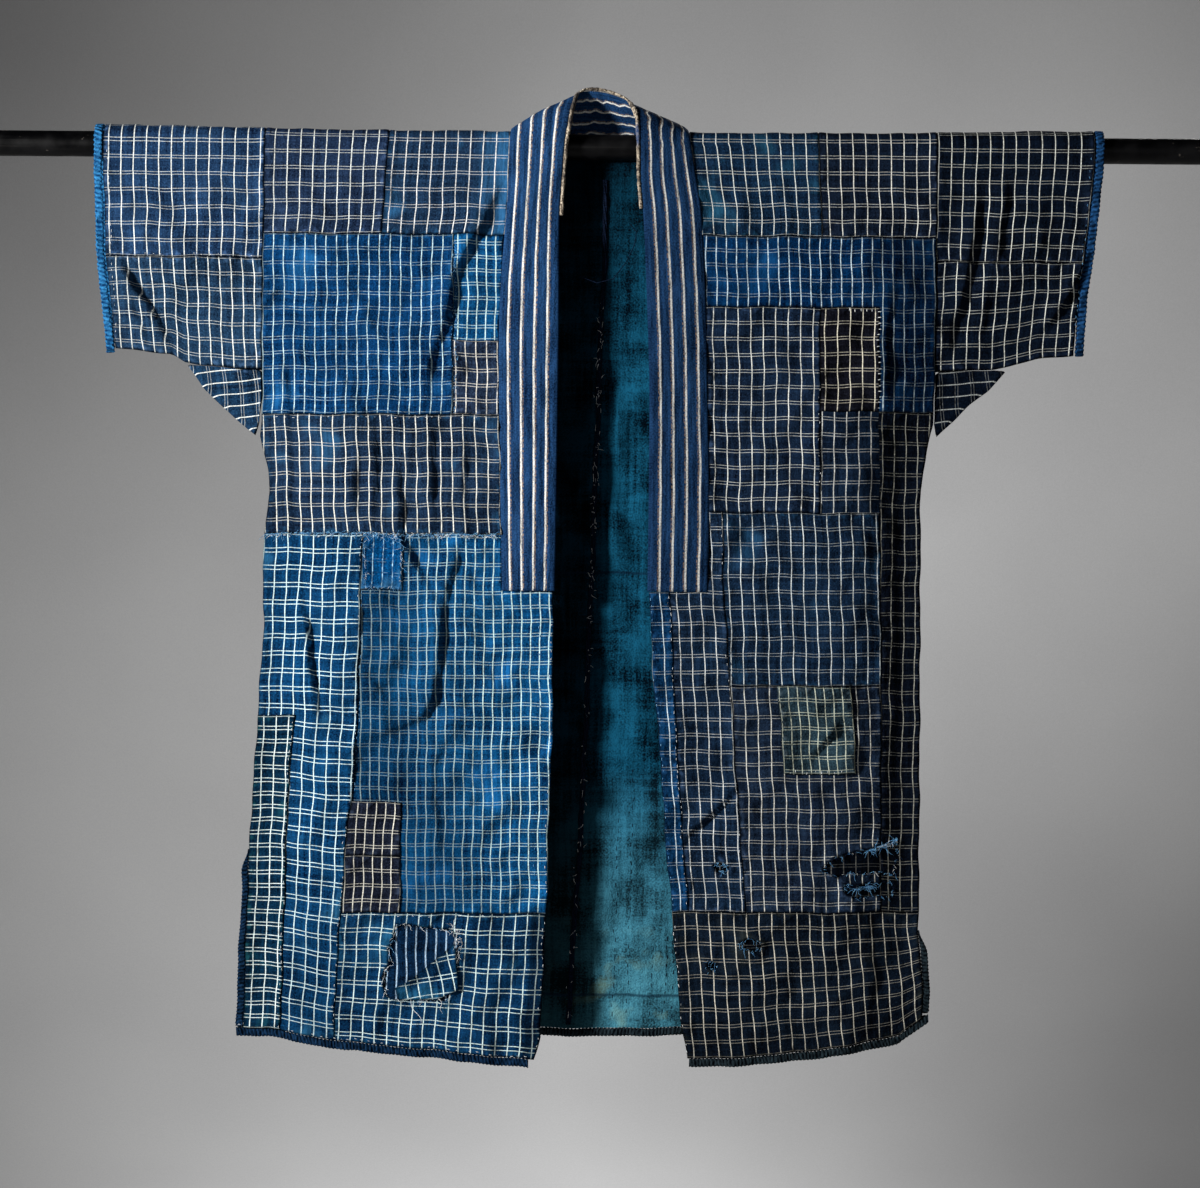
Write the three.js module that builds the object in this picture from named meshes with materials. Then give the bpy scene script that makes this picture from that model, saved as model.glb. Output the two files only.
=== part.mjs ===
// A patched cotton work jacket hung by its shoulders on a round rod.
// Millimetres. X runs to the viewer's right, the front faces -Y, +Z is up, and the origin is on the rod's axis.
// "right" and "left" in the names are the wearer's, so right is the -X side.
import * as THREE from "three";

// Driving dimensions
const ROD_RADIUS = 12.5;
const ROD_HALF_LENGTH = 620;
const ROD_SIDES = 24;
const CLOTH = 1.0; // thickness of one layer of cloth
const GAP = 0.3; // clearance between two layers, and between the two sides of a seam
const BAND = 4.6; // thickness of the folded collar band
const BINDING = 4.0; // thickness of a binding sewn round an edge
const BINDING_WIDTH = 8.5;
const HANG_RADIUS = 13.6; // inside of the cloth where it bends over the rod
const CUFF_LOFT = 3.4; // how much higher the cloth stands over the rod at the cuffs
const BELLY = 6.4; // how much further apart the front and back hang below the rod
const SIDE_DEPTH = 0.35; // half the distance between front and back at a side seam
const SIDE_TAPER = 90; // over this width the front and back close towards a side seam
const VENT_DEPTH = 6; // how far the open vents part at the hem
const FRONT = -1;
const BACK = 1;

// Where the cloth's layers lie, as [inner face, outer face] outward from the panel's inner face
const PANEL = [0, CLOTH];
const PATCH = [CLOTH + GAP, 2 * CLOTH + GAP];
const TOP_PATCH = [2 * (CLOTH + GAP), 3 * CLOTH + 2 * GAP];
const LINING = [-CLOTH - GAP, -GAP];
const EDGE_BINDING = [-1.4, BINDING - 1.4];

// Heights of the main seams
const YOKE = -87; // lower edge of the pieces that go over the shoulders
const SLEEVE_SEAM = -110;
const COLLAR_END = -430;
const RIGHT_VENT = -682;
const LEFT_VENT = -756;

// Outlines as [z, x] points from the top down
const rightSide = [
  [20, -323], [-267, -325], [-281, -327], [-312, -320], [-335, -317], [-393, -324], [-460, -322],
  [-527, -326], [-585, -329], [-662, -334], [-800, -337], [-900, -338],
];
const leftSide = [
  [20, 326], [-267, 325], [-292, 318], [-330, 313], [-619, 314], [-754, 314], [-783, 316], [-812, 318],
  [-900, 320],
];
const rightCollarSeam = [[20, -86], [-30, -87], [-68, -89], [-125, -93], [-188, -95], [-260, -94], [-430, -90]];
const leftCollarSeam = [[20, 85], [-30, 92], [-61, 97], [-106, 100], [-176, 103], [-341, 107], [-430, 106]];
const rightOpening = [[-430, -42], [-574, -41], [-631, -44], [-708, -45], [-860, -51], [-900, -63]];
const leftOpening = [
  [-430, 51], [-503, 54], [-594, 63], [-674, 68], [-729, 74], [-767, 77], [-837, 83], [-900, 94],
];
const rightCuff = [[20, -488], [-28, -488], [-105, -485], [-143, -482], [-197, -477]];
const leftCuff = [[20, 487], [-21, 486], [-59, 482], [-98, 478], [-136, 473], [-194, 470]];

// Lower edges as [x, z] points from left to right
const rightHem = [[-345, -862], [-312, -863], [-239, -874], [-167, -880], [-63, -890], [-40, -890]];
const leftHem = [[70, -888], [92, -888], [161, -885], [247, -875], [295, -865], [330, -841]];
const backHem = [[-345, -860], [0, -864], [215, -859], [330, -846]];

// Where the front and back are sewn or folded together, as [x, z] points: under the sleeve, along the gusset's
// fold, and down the side seam
const rightClosing = [
  [-520, -193], [-477, -197], [-413, -203], [-401, -211], [-353, -262], [-327, -281], [-318, -330],
  [-324, -460], [-334, -662], [-338, -900],
];
const leftClosing = [
  [520, -190], [470, -194], [425, -202], [397, -210], [348, -257], [323, -280], [314, -330],
  [314, -619], [315, -756], [320, -900],
];

// The largest soft folds: [x, z] at the two ends, half width, and height (negative for a trough)
const frontFolds = [
  [-128, -385, -152, -535, 24, 4.5],
  [-172, -400, -178, -560, 24, -3],
  [-150, -585, -160, -705, 24, 3.5],
  [-281, -445, -272, -549, 22, 3],
  [-300, -210, -297, -374, 20, 2.5],
  [-110, -760, -118, -880, 30, 3],
  [-270, -750, -280, -870, 30, 3],
  [131, -600, 84, -665, 22, -3],
  [170, -560, 176, -730, 28, 3],
  [236, -553, 205, -600, 22, -2.5],
  [285, -420, 288, -620, 20, -2],
  [150, -780, 140, -880, 30, 3.5],
  [364, -2, 336, -195, 20, -3.5],
  [-447, -125, -415, -190, 20, -2.5],
  [455, -115, 428, -172, 20, -2.5],
];
const backFolds = [
  [-60, -150, -80, -840, 34, 3],
  [-200, -260, -230, -840, 34, 3.5],
  [-135, -300, -150, -700, 26, -2.5],
  [70, -160, 60, -840, 34, -3],
  [165, -240, 190, -840, 36, 4],
  [250, -420, 262, -800, 28, -2.5],
  [-440, -60, -425, -180, 22, -2],
  [430, -50, 412, -180, 22, -2.5],
];

// The value at t of a line through [t, value] points, held level past its ends
function along(points, t) {
  const rising = points[1][0] > points[0][0];
  const line = rising ? points : [...points].reverse();
  if (t <= line[0][0]) return line[0][1];
  for (let i = 1; i < line.length; i += 1) {
    const [t0, a] = line[i - 1];
    const [t1, b] = line[i];
    if (t <= t1) return a + ((b - a) * (t - t0)) / (t1 - t0);
  }
  return line[line.length - 1][1];
}

const smooth = (t) => THREE.MathUtils.smoothstep(t, 0, 1);

function distanceToSegment(x, z, x0, z0, x1, z1) {
  const dx = x1 - x0;
  const dz = z1 - z0;
  const t = THREE.MathUtils.clamp(((x - x0) * dx + (z - z0) * dz) / (dx * dx + dz * dz), 0, 1);
  return Math.hypot(x - x0 - t * dx, z - z0 - t * dz);
}

function distanceToClosing(x, z) {
  const line = x < 0 ? rightClosing : leftClosing;
  let nearest = Infinity;
  for (let i = 1; i < line.length; i += 1) {
    nearest = Math.min(nearest, distanceToSegment(x, z, ...line[i - 1], ...line[i]));
  }
  return nearest;
}

// How far over the rod the cloth stands: more towards the cuffs
const hangRadius = (x) => HANG_RADIUS + CUFF_LOFT * smooth((Math.abs(x) - 200) / 260);

// Half the distance between the front and back where nothing closes them
function openDepth(x, z) {
  const down = smooth(-z / 150);
  const inBody = smooth((350 - Math.abs(x)) / 110);
  return hangRadius(x) + BELLY * down * inBody;
}

// Distance of the panels' inner face from the plane through the rod
function depth(x, z, side) {
  const closing = distanceToClosing(x, z);
  const open = smooth(closing / SIDE_TAPER);
  const vent = x < 0 ? RIGHT_VENT : LEFT_VENT;
  const parted = VENT_DEPTH * smooth((vent - z) / 120) * (1 - open);
  const folds = side === FRONT ? frontFolds : backFolds;
  let fold = 0;
  for (const [x0, z0, x1, z1, halfWidth, height] of folds) {
    const away = distanceToSegment(x, z, x0, z0, x1, z1) / halfWidth;
    fold += height * Math.exp(-away * away);
  }
  const belowRod = smooth((-z - ROD_RADIUS) / 45);
  return SIDE_DEPTH + (openDepth(x, z) - SIDE_DEPTH) * open + parted + fold * open * belowRod;
}

function wallPoint(x, z, side, out) {
  return new THREE.Vector3(x, side * (depth(x, z, side) + out), z);
}

function overRodPoint(x, angle, out) {
  const radius = hangRadius(x) + out;
  return new THREE.Vector3(x, radius * Math.sin(angle), radius * Math.cos(angle));
}

// A lattice of cloth: rows and columns of points, each a function of its distance out from the inner face.
// wall() makes the cells that keep() allows into one closed solid between two such distances.
function wall(lattice, [inner, outer], keep = () => true) {
  const { rows, columns, at } = lattice;
  const kept = (r, c) => r >= 0 && c >= 0 && r < rows - 1 && c < columns - 1 && keep(r, c);
  const positions = [];
  const indices = [];
  const id = (layer, r, c) => (layer * rows + r) * columns + c;

  // A point on the piece's edge moves half a gap into the piece.
  const edgePoint = (r, c, out) => {
    const point = at(r, c, out);
    const up = kept(r - 1, c) || kept(r - 1, c - 1);
    const down = kept(r, c) || kept(r, c - 1);
    const before = kept(r - 1, c - 1) || kept(r, c - 1);
    const after = kept(r - 1, c) || kept(r, c);
    const step = new THREE.Vector3();
    const toward = (rr, cc) => step.add(at(rr, cc, out).sub(point).setLength((GAP + 0.04) / 2));
    if (down && !up) toward(r + 1, c);
    if (up && !down) toward(r - 1, c);
    if (after && !before) toward(r, c + 1);
    if (before && !after) toward(r, c - 1);
    return point.add(step);
  };
  for (const out of [inner, outer]) {
    for (let r = 0; r < rows; r += 1) {
      for (let c = 0; c < columns; c += 1) positions.push(...edgePoint(r, c, out).toArray());
    }
  }

  const quad = (a, b, c, d) => indices.push(a, b, c, a, c, d);
  const rim = (a, b) => quad(id(1, ...b), id(1, ...a), id(0, ...a), id(0, ...b));
  for (let r = 0; r < rows - 1; r += 1) {
    for (let c = 0; c < columns - 1; c += 1) {
      if (!kept(r, c)) continue;
      quad(id(1, r, c), id(1, r + 1, c), id(1, r + 1, c + 1), id(1, r, c + 1));
      indices.push(id(0, r, c), id(0, r + 1, c + 1), id(0, r + 1, c));
      indices.push(id(0, r, c), id(0, r, c + 1), id(0, r + 1, c + 1));
      if (!kept(r, c - 1)) rim([r, c], [r + 1, c]);
      if (!kept(r + 1, c)) rim([r + 1, c], [r + 1, c + 1]);
      if (!kept(r, c + 1)) rim([r + 1, c + 1], [r, c + 1]);
      if (!kept(r - 1, c)) rim([r, c + 1], [r, c]);
    }
  }
  return facingOut(positions, indices);
}

function facingOut(positions, indices) {
  const corner = (i) => new THREE.Vector3().fromArray(positions, 3 * i);
  let volume = 0;
  for (let i = 0; i < indices.length; i += 3) {
    const [a, b, c] = [corner(indices[i]), corner(indices[i + 1]), corner(indices[i + 2])];
    volume += a.dot(b.cross(c)) / 6;
  }
  if (volume < 0) indices.reverse();
  const geometry = new THREE.BufferGeometry();
  geometry.setAttribute("position", new THREE.Float32BufferAttribute(positions, 3));
  geometry.setIndex(indices);
  return geometry;
}

const jacket = new THREE.Group();

function add(name, geometry, color, roughness = 0.95) {
  const material = new THREE.MeshStandardMaterial({ color, roughness, metalness: 0 });
  const mesh = new THREE.Mesh(geometry, material);
  mesh.name = name;
  jacket.add(mesh);
}

const navy = 0x243a66;
const blue = 0x175891;
const brightBlue = 0x0f57a3;
const brown = 0x2c3446;
const dark = 0x141c2c;
const olive = 0x2e3a40;
const stripe = 0x36527f;
const indigo = 0x12607f;
const worn = 0x1c6eb0;
const ivory = 0xa89c84;

// Panels: columns are x lines, each [z, x] points, and rows run from the top down. Rows past the hem seam are
// shares of the way from there to the hem.
function panelLattice({ side, columnLines, rowHeights, lowerShares, hem, hemSeam }) {
  const rows = rowHeights.length + lowerShares.length;
  const heightAt = (r, x) => {
    if (r < rowHeights.length) return rowHeights[r];
    const share = lowerShares[r - rowHeights.length];
    return hemSeam + share * (along(hem, x) + BINDING_WIDTH - hemSeam);
  };
  const at = (r, c, out) => {
    const line = columnLines[c];
    const roughX = along(line, r < rowHeights.length ? rowHeights[r] : hemSeam);
    const x = along(line, heightAt(r, roughX));
    return wallPoint(x, heightAt(r, x), side, out);
  };
  return { rows, columns: columnLines.length, at };
}

const straight = (x) => [[20, x], [-900, x]];
const within = (r0, r1, c0, c1) => (r, c) => r >= r0 && r < r1 && c >= c0 && c < c1;
const cells = (...blocks) => (r, c) => blocks.some((block) => within(...block)(r, c));

// The wearer's right front
const RIGHT_HEM_SEAM = -741;
const rightColumns = [
  rightSide,
  [[-87, -297], [-374, -296], [-553, -291], [-633, -297], [-900, -303]],
  straight(-262),
  [[-87, -210], [-385, -226], [-536, -229], [-614, -232], [-655, -238], [-791, -247], [-900, -251]],
  straight(-187),
  straight(-163),
  straight(-140),
  [[-87, -91], [-188, -95.5], [-260, -94.5], [-430, -90.5], [-900, -92]],
  straight(-66),
  rightOpening,
];
const rightRows = [YOKE, -138, -189, -261, -318, -376, COLLAR_END, -490, -552, -593, -634, -686, RIGHT_HEM_SEAM];
const rightLattice = panelLattice({
  side: FRONT,
  columnLines: rightColumns,
  rowHeights: rightRows,
  lowerShares: [0.09, 0.38, 0.66, 1],
  hem: rightHem,
  hemSeam: RIGHT_HEM_SEAM,
});
const R_BREAST = 2;
const R_CHEST_END = 3;
const R_WAIST_END = 5;
const R_COLLAR_END = 6;
const R_STRIP = 8;
const R_HIP = 10;
const R_HIP_BREAK = 11;
const R_HEM_PATCH = 12;
const R_END = 16;

function addRightFront() {
  const onFront = (name, layer, color, ...blocks) => {
    add(name, wall(rightLattice, layer, cells(...blocks)), color);
  };
  onFront("front_right", PANEL, blue, [0, R_COLLAR_END, 0, 7], [R_COLLAR_END, R_HEM_PATCH, 0, 9]);
  onFront("front_right_hem", PANEL, dark, [R_HEM_PATCH, R_END, 0, 9]);
  onFront("patch_chest_right", PATCH, brightBlue, [0, R_CHEST_END, 0, 6]);
  onFront("patch_breast_right", PATCH, brown, [R_BREAST, R_CHEST_END, 6, 7]);
  onFront("patch_waist_right", PATCH, navy, [R_CHEST_END, R_WAIST_END, 0, 7]);
  onFront("patch_side_right", PATCH, blue, [R_WAIST_END, R_END, 0, 3]);
  onFront("patch_strip_right", TOP_PATCH, navy, [R_STRIP, R_END, 0, 1]);
  onFront("patch_worn_right", PATCH, worn, [R_WAIST_END, R_COLLAR_END, 3, 4]);
  onFront("patch_hip_upper_right", PATCH, brown, [R_HIP, R_HIP_BREAK, 3, 4]);
  onFront("patch_hip_lower_right", PATCH, brown, [R_HIP_BREAK, R_HEM_PATCH, 3, 4]);
  // The patch along the hem is torn open over its middle, and the darker cloth under it shows.
  onFront(
    "patch_hem_right", PATCH, blue,
    [R_HEM_PATCH, 13, 3, 9], [13, 15, 3, 4], [13, 15, 6, 9], [14, 15, 5, 9], [15, R_END, 3, 9],
  );
}

// A torn corner that has folded down over the opening in the hem patch
function addTornFlap() {
  const fromX = [-182, -152, -131];
  const topZ = [-808, -785, -768];
  const bottomZ = [-822, -823, -800];
  const at = (r, c, out) => {
    const x = fromX[c];
    const z = THREE.MathUtils.lerp(topZ[c], bottomZ[c], r);
    return wallPoint(x, z, FRONT, out + 2 * (CLOTH + GAP) + 0.8);
  };
  add("flap_torn_right", wall({ rows: 2, columns: 3, at }, PANEL), blue);
}

// The wearer's left front
const LEFT_HEM_SEAM = -738;
const leftColumns = [
  leftOpening,
  [[-430, 71], [-566, 78], [-655, 84], [-738, 91], [-900, 108]],
  [[-87, 100], [-106, 101], [-176, 104], [-341, 107.5], [-430, 107], [-738, 119], [-900, 132]],
  [[-87, 132], [-355, 121], [-418, 122], [-522, 130], [-634, 138], [-724, 145], [-900, 160]],
  [[-87, 172], [-520, 174], [-607, 182], [-900, 190]],
  [[-87, 213], [-900, 218]],
  [[-87, 242], [-520, 247], [-607, 252], [-900, 254]],
  [[-87, 270], [-255, 271], [-508, 276], [-900, 277]],
  leftSide,
];
const leftRows = [
  YOKE, -155, -205, -255, -305, -353, COLLAR_END, -475, -520, -565, -605, -667, -703, LEFT_HEM_SEAM,
];
const leftLattice = panelLattice({
  side: FRONT,
  columnLines: leftColumns,
  rowHeights: leftRows,
  lowerShares: [0.3, 0.65, 1],
  hem: leftHem,
  hemSeam: LEFT_HEM_SEAM,
});
const L_CHEST = 1;
const L_ARM_END = 3;
const L_WAIST = 5;
const L_COLLAR_END = 6;
const L_HIP = 8;
const L_OLIVE_END = 10;
const L_TEAR = 11;
const L_HEM_PATCH = 13;
const L_END = 16;

function addLeftFront() {
  const onFront = (name, layer, color, ...blocks) => {
    add(name, wall(leftLattice, layer, cells(...blocks)), color);
  };
  onFront("front_left", PANEL, navy, [0, L_COLLAR_END, 2, 8], [L_COLLAR_END, L_END, 0, 8]);
  onFront("patch_chest_left", PATCH, brightBlue, [0, L_CHEST, 2, 8], [L_CHEST, L_ARM_END, 7, 8]);
  onFront("patch_breast_left", PATCH, navy, [L_CHEST, L_WAIST, 2, 5]);
  onFront("patch_brown_left", PATCH, brown, [L_CHEST, L_ARM_END, 5, 7]);
  onFront("patch_waist_left", PATCH, navy, [L_WAIST, L_HIP, 3, 7]);
  onFront("patch_side_left", PATCH, dark, [L_ARM_END, L_HEM_PATCH, 7, 8]);
  onFront("overlap_left", PATCH, navy, [L_WAIST, L_COLLAR_END, 2, 3], [L_COLLAR_END, L_HEM_PATCH, 1, 3]);
  onFront("edge_strip_left", PATCH, blue, [L_COLLAR_END, L_HEM_PATCH, 0, 1]);
  // The hip patch is torn open at one row of its cells, beside the side strip.
  onFront(
    "patch_hip_left", PATCH, navy,
    [L_HIP, L_TEAR, 3, 7], [L_TEAR, 12, 3, 5], [12, L_HEM_PATCH, 3, 7],
  );
  onFront("patch_olive_left", TOP_PATCH, olive, [L_HIP, L_OLIVE_END, 4, 6]);
  onFront("patch_hem_left", PATCH, dark, [L_HEM_PATCH, L_END, 0, 8]);
}

// The back, in two widths of cloth that meet in a centre seam, with a plain lining inside
const NECKLINE = 7; // height of the back neckline
const backRows = [NECKLINE, -16, -52, YOKE, -170, -260, -350, -460, -560, RIGHT_VENT, LEFT_VENT];
const BACK_HEM_SEAM = LEFT_VENT;
const B_YOKE = 3;
const B_END = 12;
const B_LINING = 1;

function backLattice(columnLines) {
  return panelLattice({
    side: BACK,
    columnLines,
    rowHeights: backRows,
    lowerShares: [0.5, 1],
    hem: backHem,
    hemSeam: BACK_HEM_SEAM,
  });
}
const backRight = backLattice([rightSide, straight(-250), straight(-170), straight(-87), straight(-45), straight(0)]);
const backLeft = backLattice([straight(0), straight(45), straight(87), straight(170), straight(245), leftSide]);

function addBack() {
  add("back_right", wall(backRight, PANEL, cells([0, B_YOKE, 3, 5], [B_YOKE, B_END, 0, 5])), navy);
  add("back_left", wall(backLeft, PANEL, cells([0, B_YOKE, 0, 2], [B_YOKE, B_END, 0, 5])), navy);
  add("lining_right", wall(backRight, LINING, cells([B_LINING, B_YOKE, 3, 5], [B_YOKE, B_END, 1, 5])), indigo);
  add("lining_left", wall(backLeft, LINING, cells([B_LINING, B_YOKE, 0, 2], [B_YOKE, B_END, 0, 4])), indigo);
}

// Pieces that hang over the rod: rows run from the lower edge in front, over the rod, to the lower edge behind
const ARC_STEPS = 6;
function overRodLattice(columnLines, frontHeights) {
  const down = [...frontHeights].reverse();
  const stations = [
    ...frontHeights.map((z) => ({ z, side: FRONT })),
    ...Array.from({ length: ARC_STEPS - 1 }, (_, i) => ({ angle: Math.PI * ((i + 1) / ARC_STEPS - 0.5) })),
    ...down.map((z) => ({ z, side: BACK })),
  ];
  const at = (r, c, out) => {
    const { z, side, angle } = stations[r];
    if (angle === undefined) return wallPoint(along(columnLines[c], z), z, side, out);
    return overRodPoint(along(columnLines[c], 10), angle, out);
  };
  return { rows: stations.length, columns: columnLines.length, at };
}

// The inner edge of a shoulder piece follows the collar seam in front, and runs straight down the back.
function shoulderLattice(columnLines, collarColumn, backX) {
  const lattice = overRodLattice(columnLines, [YOKE, -52, -16, 0]);
  const at = (r, c, out) => {
    const point = lattice.at(r, c, out);
    const behindTop = r >= 4 + (ARC_STEPS - 1) / 2;
    if (c !== collarColumn || !behindTop) return point;
    return point.z > 0 ? point.setX(backX) : wallPoint(backX, point.z, BACK, out);
  };
  return { ...lattice, at };
}

function addShoulders() {
  const rightSeam = [[20, -203], [-87, -210]];
  const leftSeam = [[20, 211], [-87, 215]];
  const outerRight = overRodLattice([rightSide, straight(-265), rightSeam], [YOKE, -52, -16, 0]);
  const innerRight = shoulderLattice([rightSeam, straight(-150), rightCollarSeam], 2, -87);
  const innerLeft = shoulderLattice([leftCollarSeam, straight(152), leftSeam], 0, 87);
  const outerLeft = overRodLattice([leftSeam, straight(268), leftSide], [YOKE, -52, -16, 0]);
  add("shoulder_outer_right", wall(outerRight, PANEL), navy);
  add("shoulder_inner_right", wall(innerRight, PANEL), navy);
  add("shoulder_inner_left", wall(innerLeft, PANEL), navy);
  add("shoulder_outer_left", wall(outerLeft, PANEL), dark);
}

// A sleeve: one piece over the rod, one below it in front and behind, a folded gusset and a bound cuff
function addSleeve(hand, { seam, cuff, midLines, lowerEdge, gusset, upperColor, lowerColor, cuffColor }) {
  const outward = Math.sign(cuff[0][1]);
  const cloth = cuff.map(([z, x]) => [z, x - outward * BINDING_WIDTH]);
  const sleeveEnd = cloth.map(([z, x]) => [z, x - outward * GAP * 3]);
  const columnLines = [seam, ...midLines.map(straight), sleeveEnd];
  add("sleeve_upper_" + hand, wall(overRodLattice(columnLines, [SLEEVE_SEAM, -62, -22, 0]), PANEL), upperColor);
  for (const side of [FRONT, BACK]) {
    const rows = 4;
    const at = (r, c, out) => {
      const x = along(columnLines[c], SLEEVE_SEAM + r * -30);
      const z = THREE.MathUtils.lerp(SLEEVE_SEAM, along(lowerEdge, x), r / (rows - 1));
      return wallPoint(x, z, side, out);
    };
    const name = (side === FRONT ? "sleeve_lower_front_" : "sleeve_lower_back_") + hand;
    add(name, wall({ rows, columns: columnLines.length, at }, PANEL), lowerColor);
  }
  addGusset(hand, gusset);
  addCuff(hand, cuff, cloth, cuffColor);
}

// The gusset is folded along its diagonal under the arm. Its straight edges are sewn to the sleeve and body.
function addGusset(hand, { upperEdge, fold, color }) {
  const columns = 5;
  const across = [-1, -0.5, 0, 0.5, 1]; // front seam, half way, fold, half way, back seam
  const at = (r, c, out) => {
    const share = c / (columns - 1);
    const from = pointAlong(upperEdge, share);
    const to = pointAlong(fold, share);
    const t = 1 - Math.abs(across[r]);
    const x = THREE.MathUtils.lerp(from[0], to[0], t);
    const z = THREE.MathUtils.lerp(from[1], to[1], t);
    if (across[r] !== 0) return wallPoint(x, z, Math.sign(across[r]), out);
    return new THREE.Vector3(x + Math.sign(x) * out * 0.7, 0, z - 1.2 - out * 0.7);
  };
  add("gusset_" + hand, wall({ rows: across.length, columns, at }, PANEL), color);
}

function pointAlong(points, share) {
  const place = share * (points.length - 1);
  const i = Math.min(Math.floor(place), points.length - 2);
  const t = place - i;
  return [0, 1].map((k) => THREE.MathUtils.lerp(points[i][k], points[i + 1][k], t));
}

// The binding round a cuff's open end is one loop: over the rod, down the front and back, and under.
function addCuff(hand, cuff, cloth, color) {
  const sign = Math.sign(cuff[0][1]);
  const low = cuff[cuff.length - 1][0];
  const heights = [0, -45, -90, -135, -170, low + 2];
  const loop = [
    ...heights.map((z) => ({ z, side: BACK })),
    { z: low - 3.2, side: 0 },
    ...[...heights].reverse().map((z) => ({ z, side: FRONT })),
    ...Array.from({ length: ARC_STEPS - 1 }, (_, i) => ({ angle: Math.PI * ((i + 1) / ARC_STEPS - 0.5) })),
  ];
  const place = ({ z, side, angle }, line, inset, out) => {
    if (angle !== undefined) return overRodPoint(along(line, 10) + inset, angle, out);
    if (side === 0) return new THREE.Vector3(along(line, z) + inset, 0, z - out);
    return wallPoint(along(line, z) + inset, z, side, out);
  };
  const [inner, outer] = [-0.2, 2.4];
  const ring = [[cloth, sign * GAP, inner], [cloth, sign * GAP, outer], [cuff, 0, outer], [cuff, 0, inner]];
  const positions = [];
  const indices = [];
  for (const station of loop) {
    for (const [line, inset, out] of ring) positions.push(...place(station, line, inset, out).toArray());
  }
  const count = ring.length;
  for (let i = 0; i < loop.length; i += 1) {
    for (let k = 0; k < count; k += 1) {
      const next = (i + 1) % loop.length;
      const [a, b] = [i * count + k, i * count + ((k + 1) % count)];
      const [c, d] = [next * count + ((k + 1) % count), next * count + k];
      indices.push(a, b, c, a, c, d);
    }
  }
  add("cuff_" + hand, facingOut(positions, indices), color);
}

function addSleeves() {
  addSleeve("right", {
    seam: rightSide,
    cuff: rightCuff,
    midLines: [-365, -405, -443],
    lowerEdge: [[-490, -196], [-413, -203], [-401, -211], [-386, -214], [-320, -218]],
    gusset: {
      upperEdge: [[-386, -214.4], [-356, -216.4], [-325.5, -218.6], [-326, -245], [-327.6, -268]],
      fold: [[-397, -213.5], [-382, -235], [-365, -251], [-349, -265], [-331, -279]],
      color: navy,
    },
    upperColor: navy,
    lowerColor: navy,
    cuffColor: 0x2f7fc4,
  });
  addSleeve("left", {
    seam: leftSide,
    cuff: leftCuff,
    midLines: [364, 404, 440],
    lowerEdge: [[320, -216], [383, -212], [397, -210], [425, -202], [490, -195]],
    gusset: {
      upperEdge: [[383, -212.6], [355, -214.4], [326.5, -216.6], [326.5, -242], [326, -266]],
      fold: [[393, -214], [376, -232], [359, -246], [344, -262], [328, -277]],
      color: dark,
    },
    upperColor: dark,
    lowerColor: dark,
    cuffColor: 0x1c4f86,
  });
}

// Bindings along the hems and the vents' edges
function addHemBinding(name, side, hem, xs, color) {
  const at = (r, c, out) => {
    const x = xs[c];
    return wallPoint(x, along(hem, x) + (1 - r) * BINDING_WIDTH, side, out);
  };
  add(name, wall({ rows: 2, columns: xs.length, at }, EDGE_BINDING), color);
}

function addVentBinding(name, side, edge, top, outline, hem, color) {
  const outward = Math.sign(outline[0][1]);
  const lowest = outline[outline.length - 1][1];
  const bottom = along(hem, lowest) + BINDING_WIDTH + GAP;
  const at = (r, c, out) => {
    const z = THREE.MathUtils.lerp(top, bottom, r / 4);
    const x = c === 0 ? along(edge, z) + outward * GAP : along(outline, z);
    return wallPoint(x, z, side, out);
  };
  add(name, wall({ rows: 5, columns: 2, at }, [-0.1, 2.6]), color);
}

function addBindings() {
  addHemBinding("hem_right", FRONT, rightHem, [-345, -297, -262, -239, -200, -163, -125, -92, -62], navy);
  addHemBinding("hem_left", FRONT, leftHem, [92, 125, 161, 205, 247, 295, 325], dark);
  addHemBinding("hem_back", BACK, backHem, [-345, -250, -170, -87, 0, 87, 170, 245, 325], dark);
  const rightEdge = [[-682, -342], [-739, -342], [-797, -345], [-900, -346]];
  const leftEdge = [[-756, 322], [-783, 323], [-812, 325], [-900, 326]];
  addVentBinding("vent_front_right", FRONT, rightSide, RIGHT_VENT, rightEdge, rightHem, blue);
  addVentBinding("vent_back_right", BACK, rightSide, RIGHT_VENT, rightEdge, backHem, blue);
  addVentBinding("vent_front_left", FRONT, leftSide, LEFT_VENT, leftEdge, leftHem, dark);
  addVentBinding("vent_back_left", BACK, leftSide, LEFT_VENT, leftEdge, backHem, dark);
}

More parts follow.
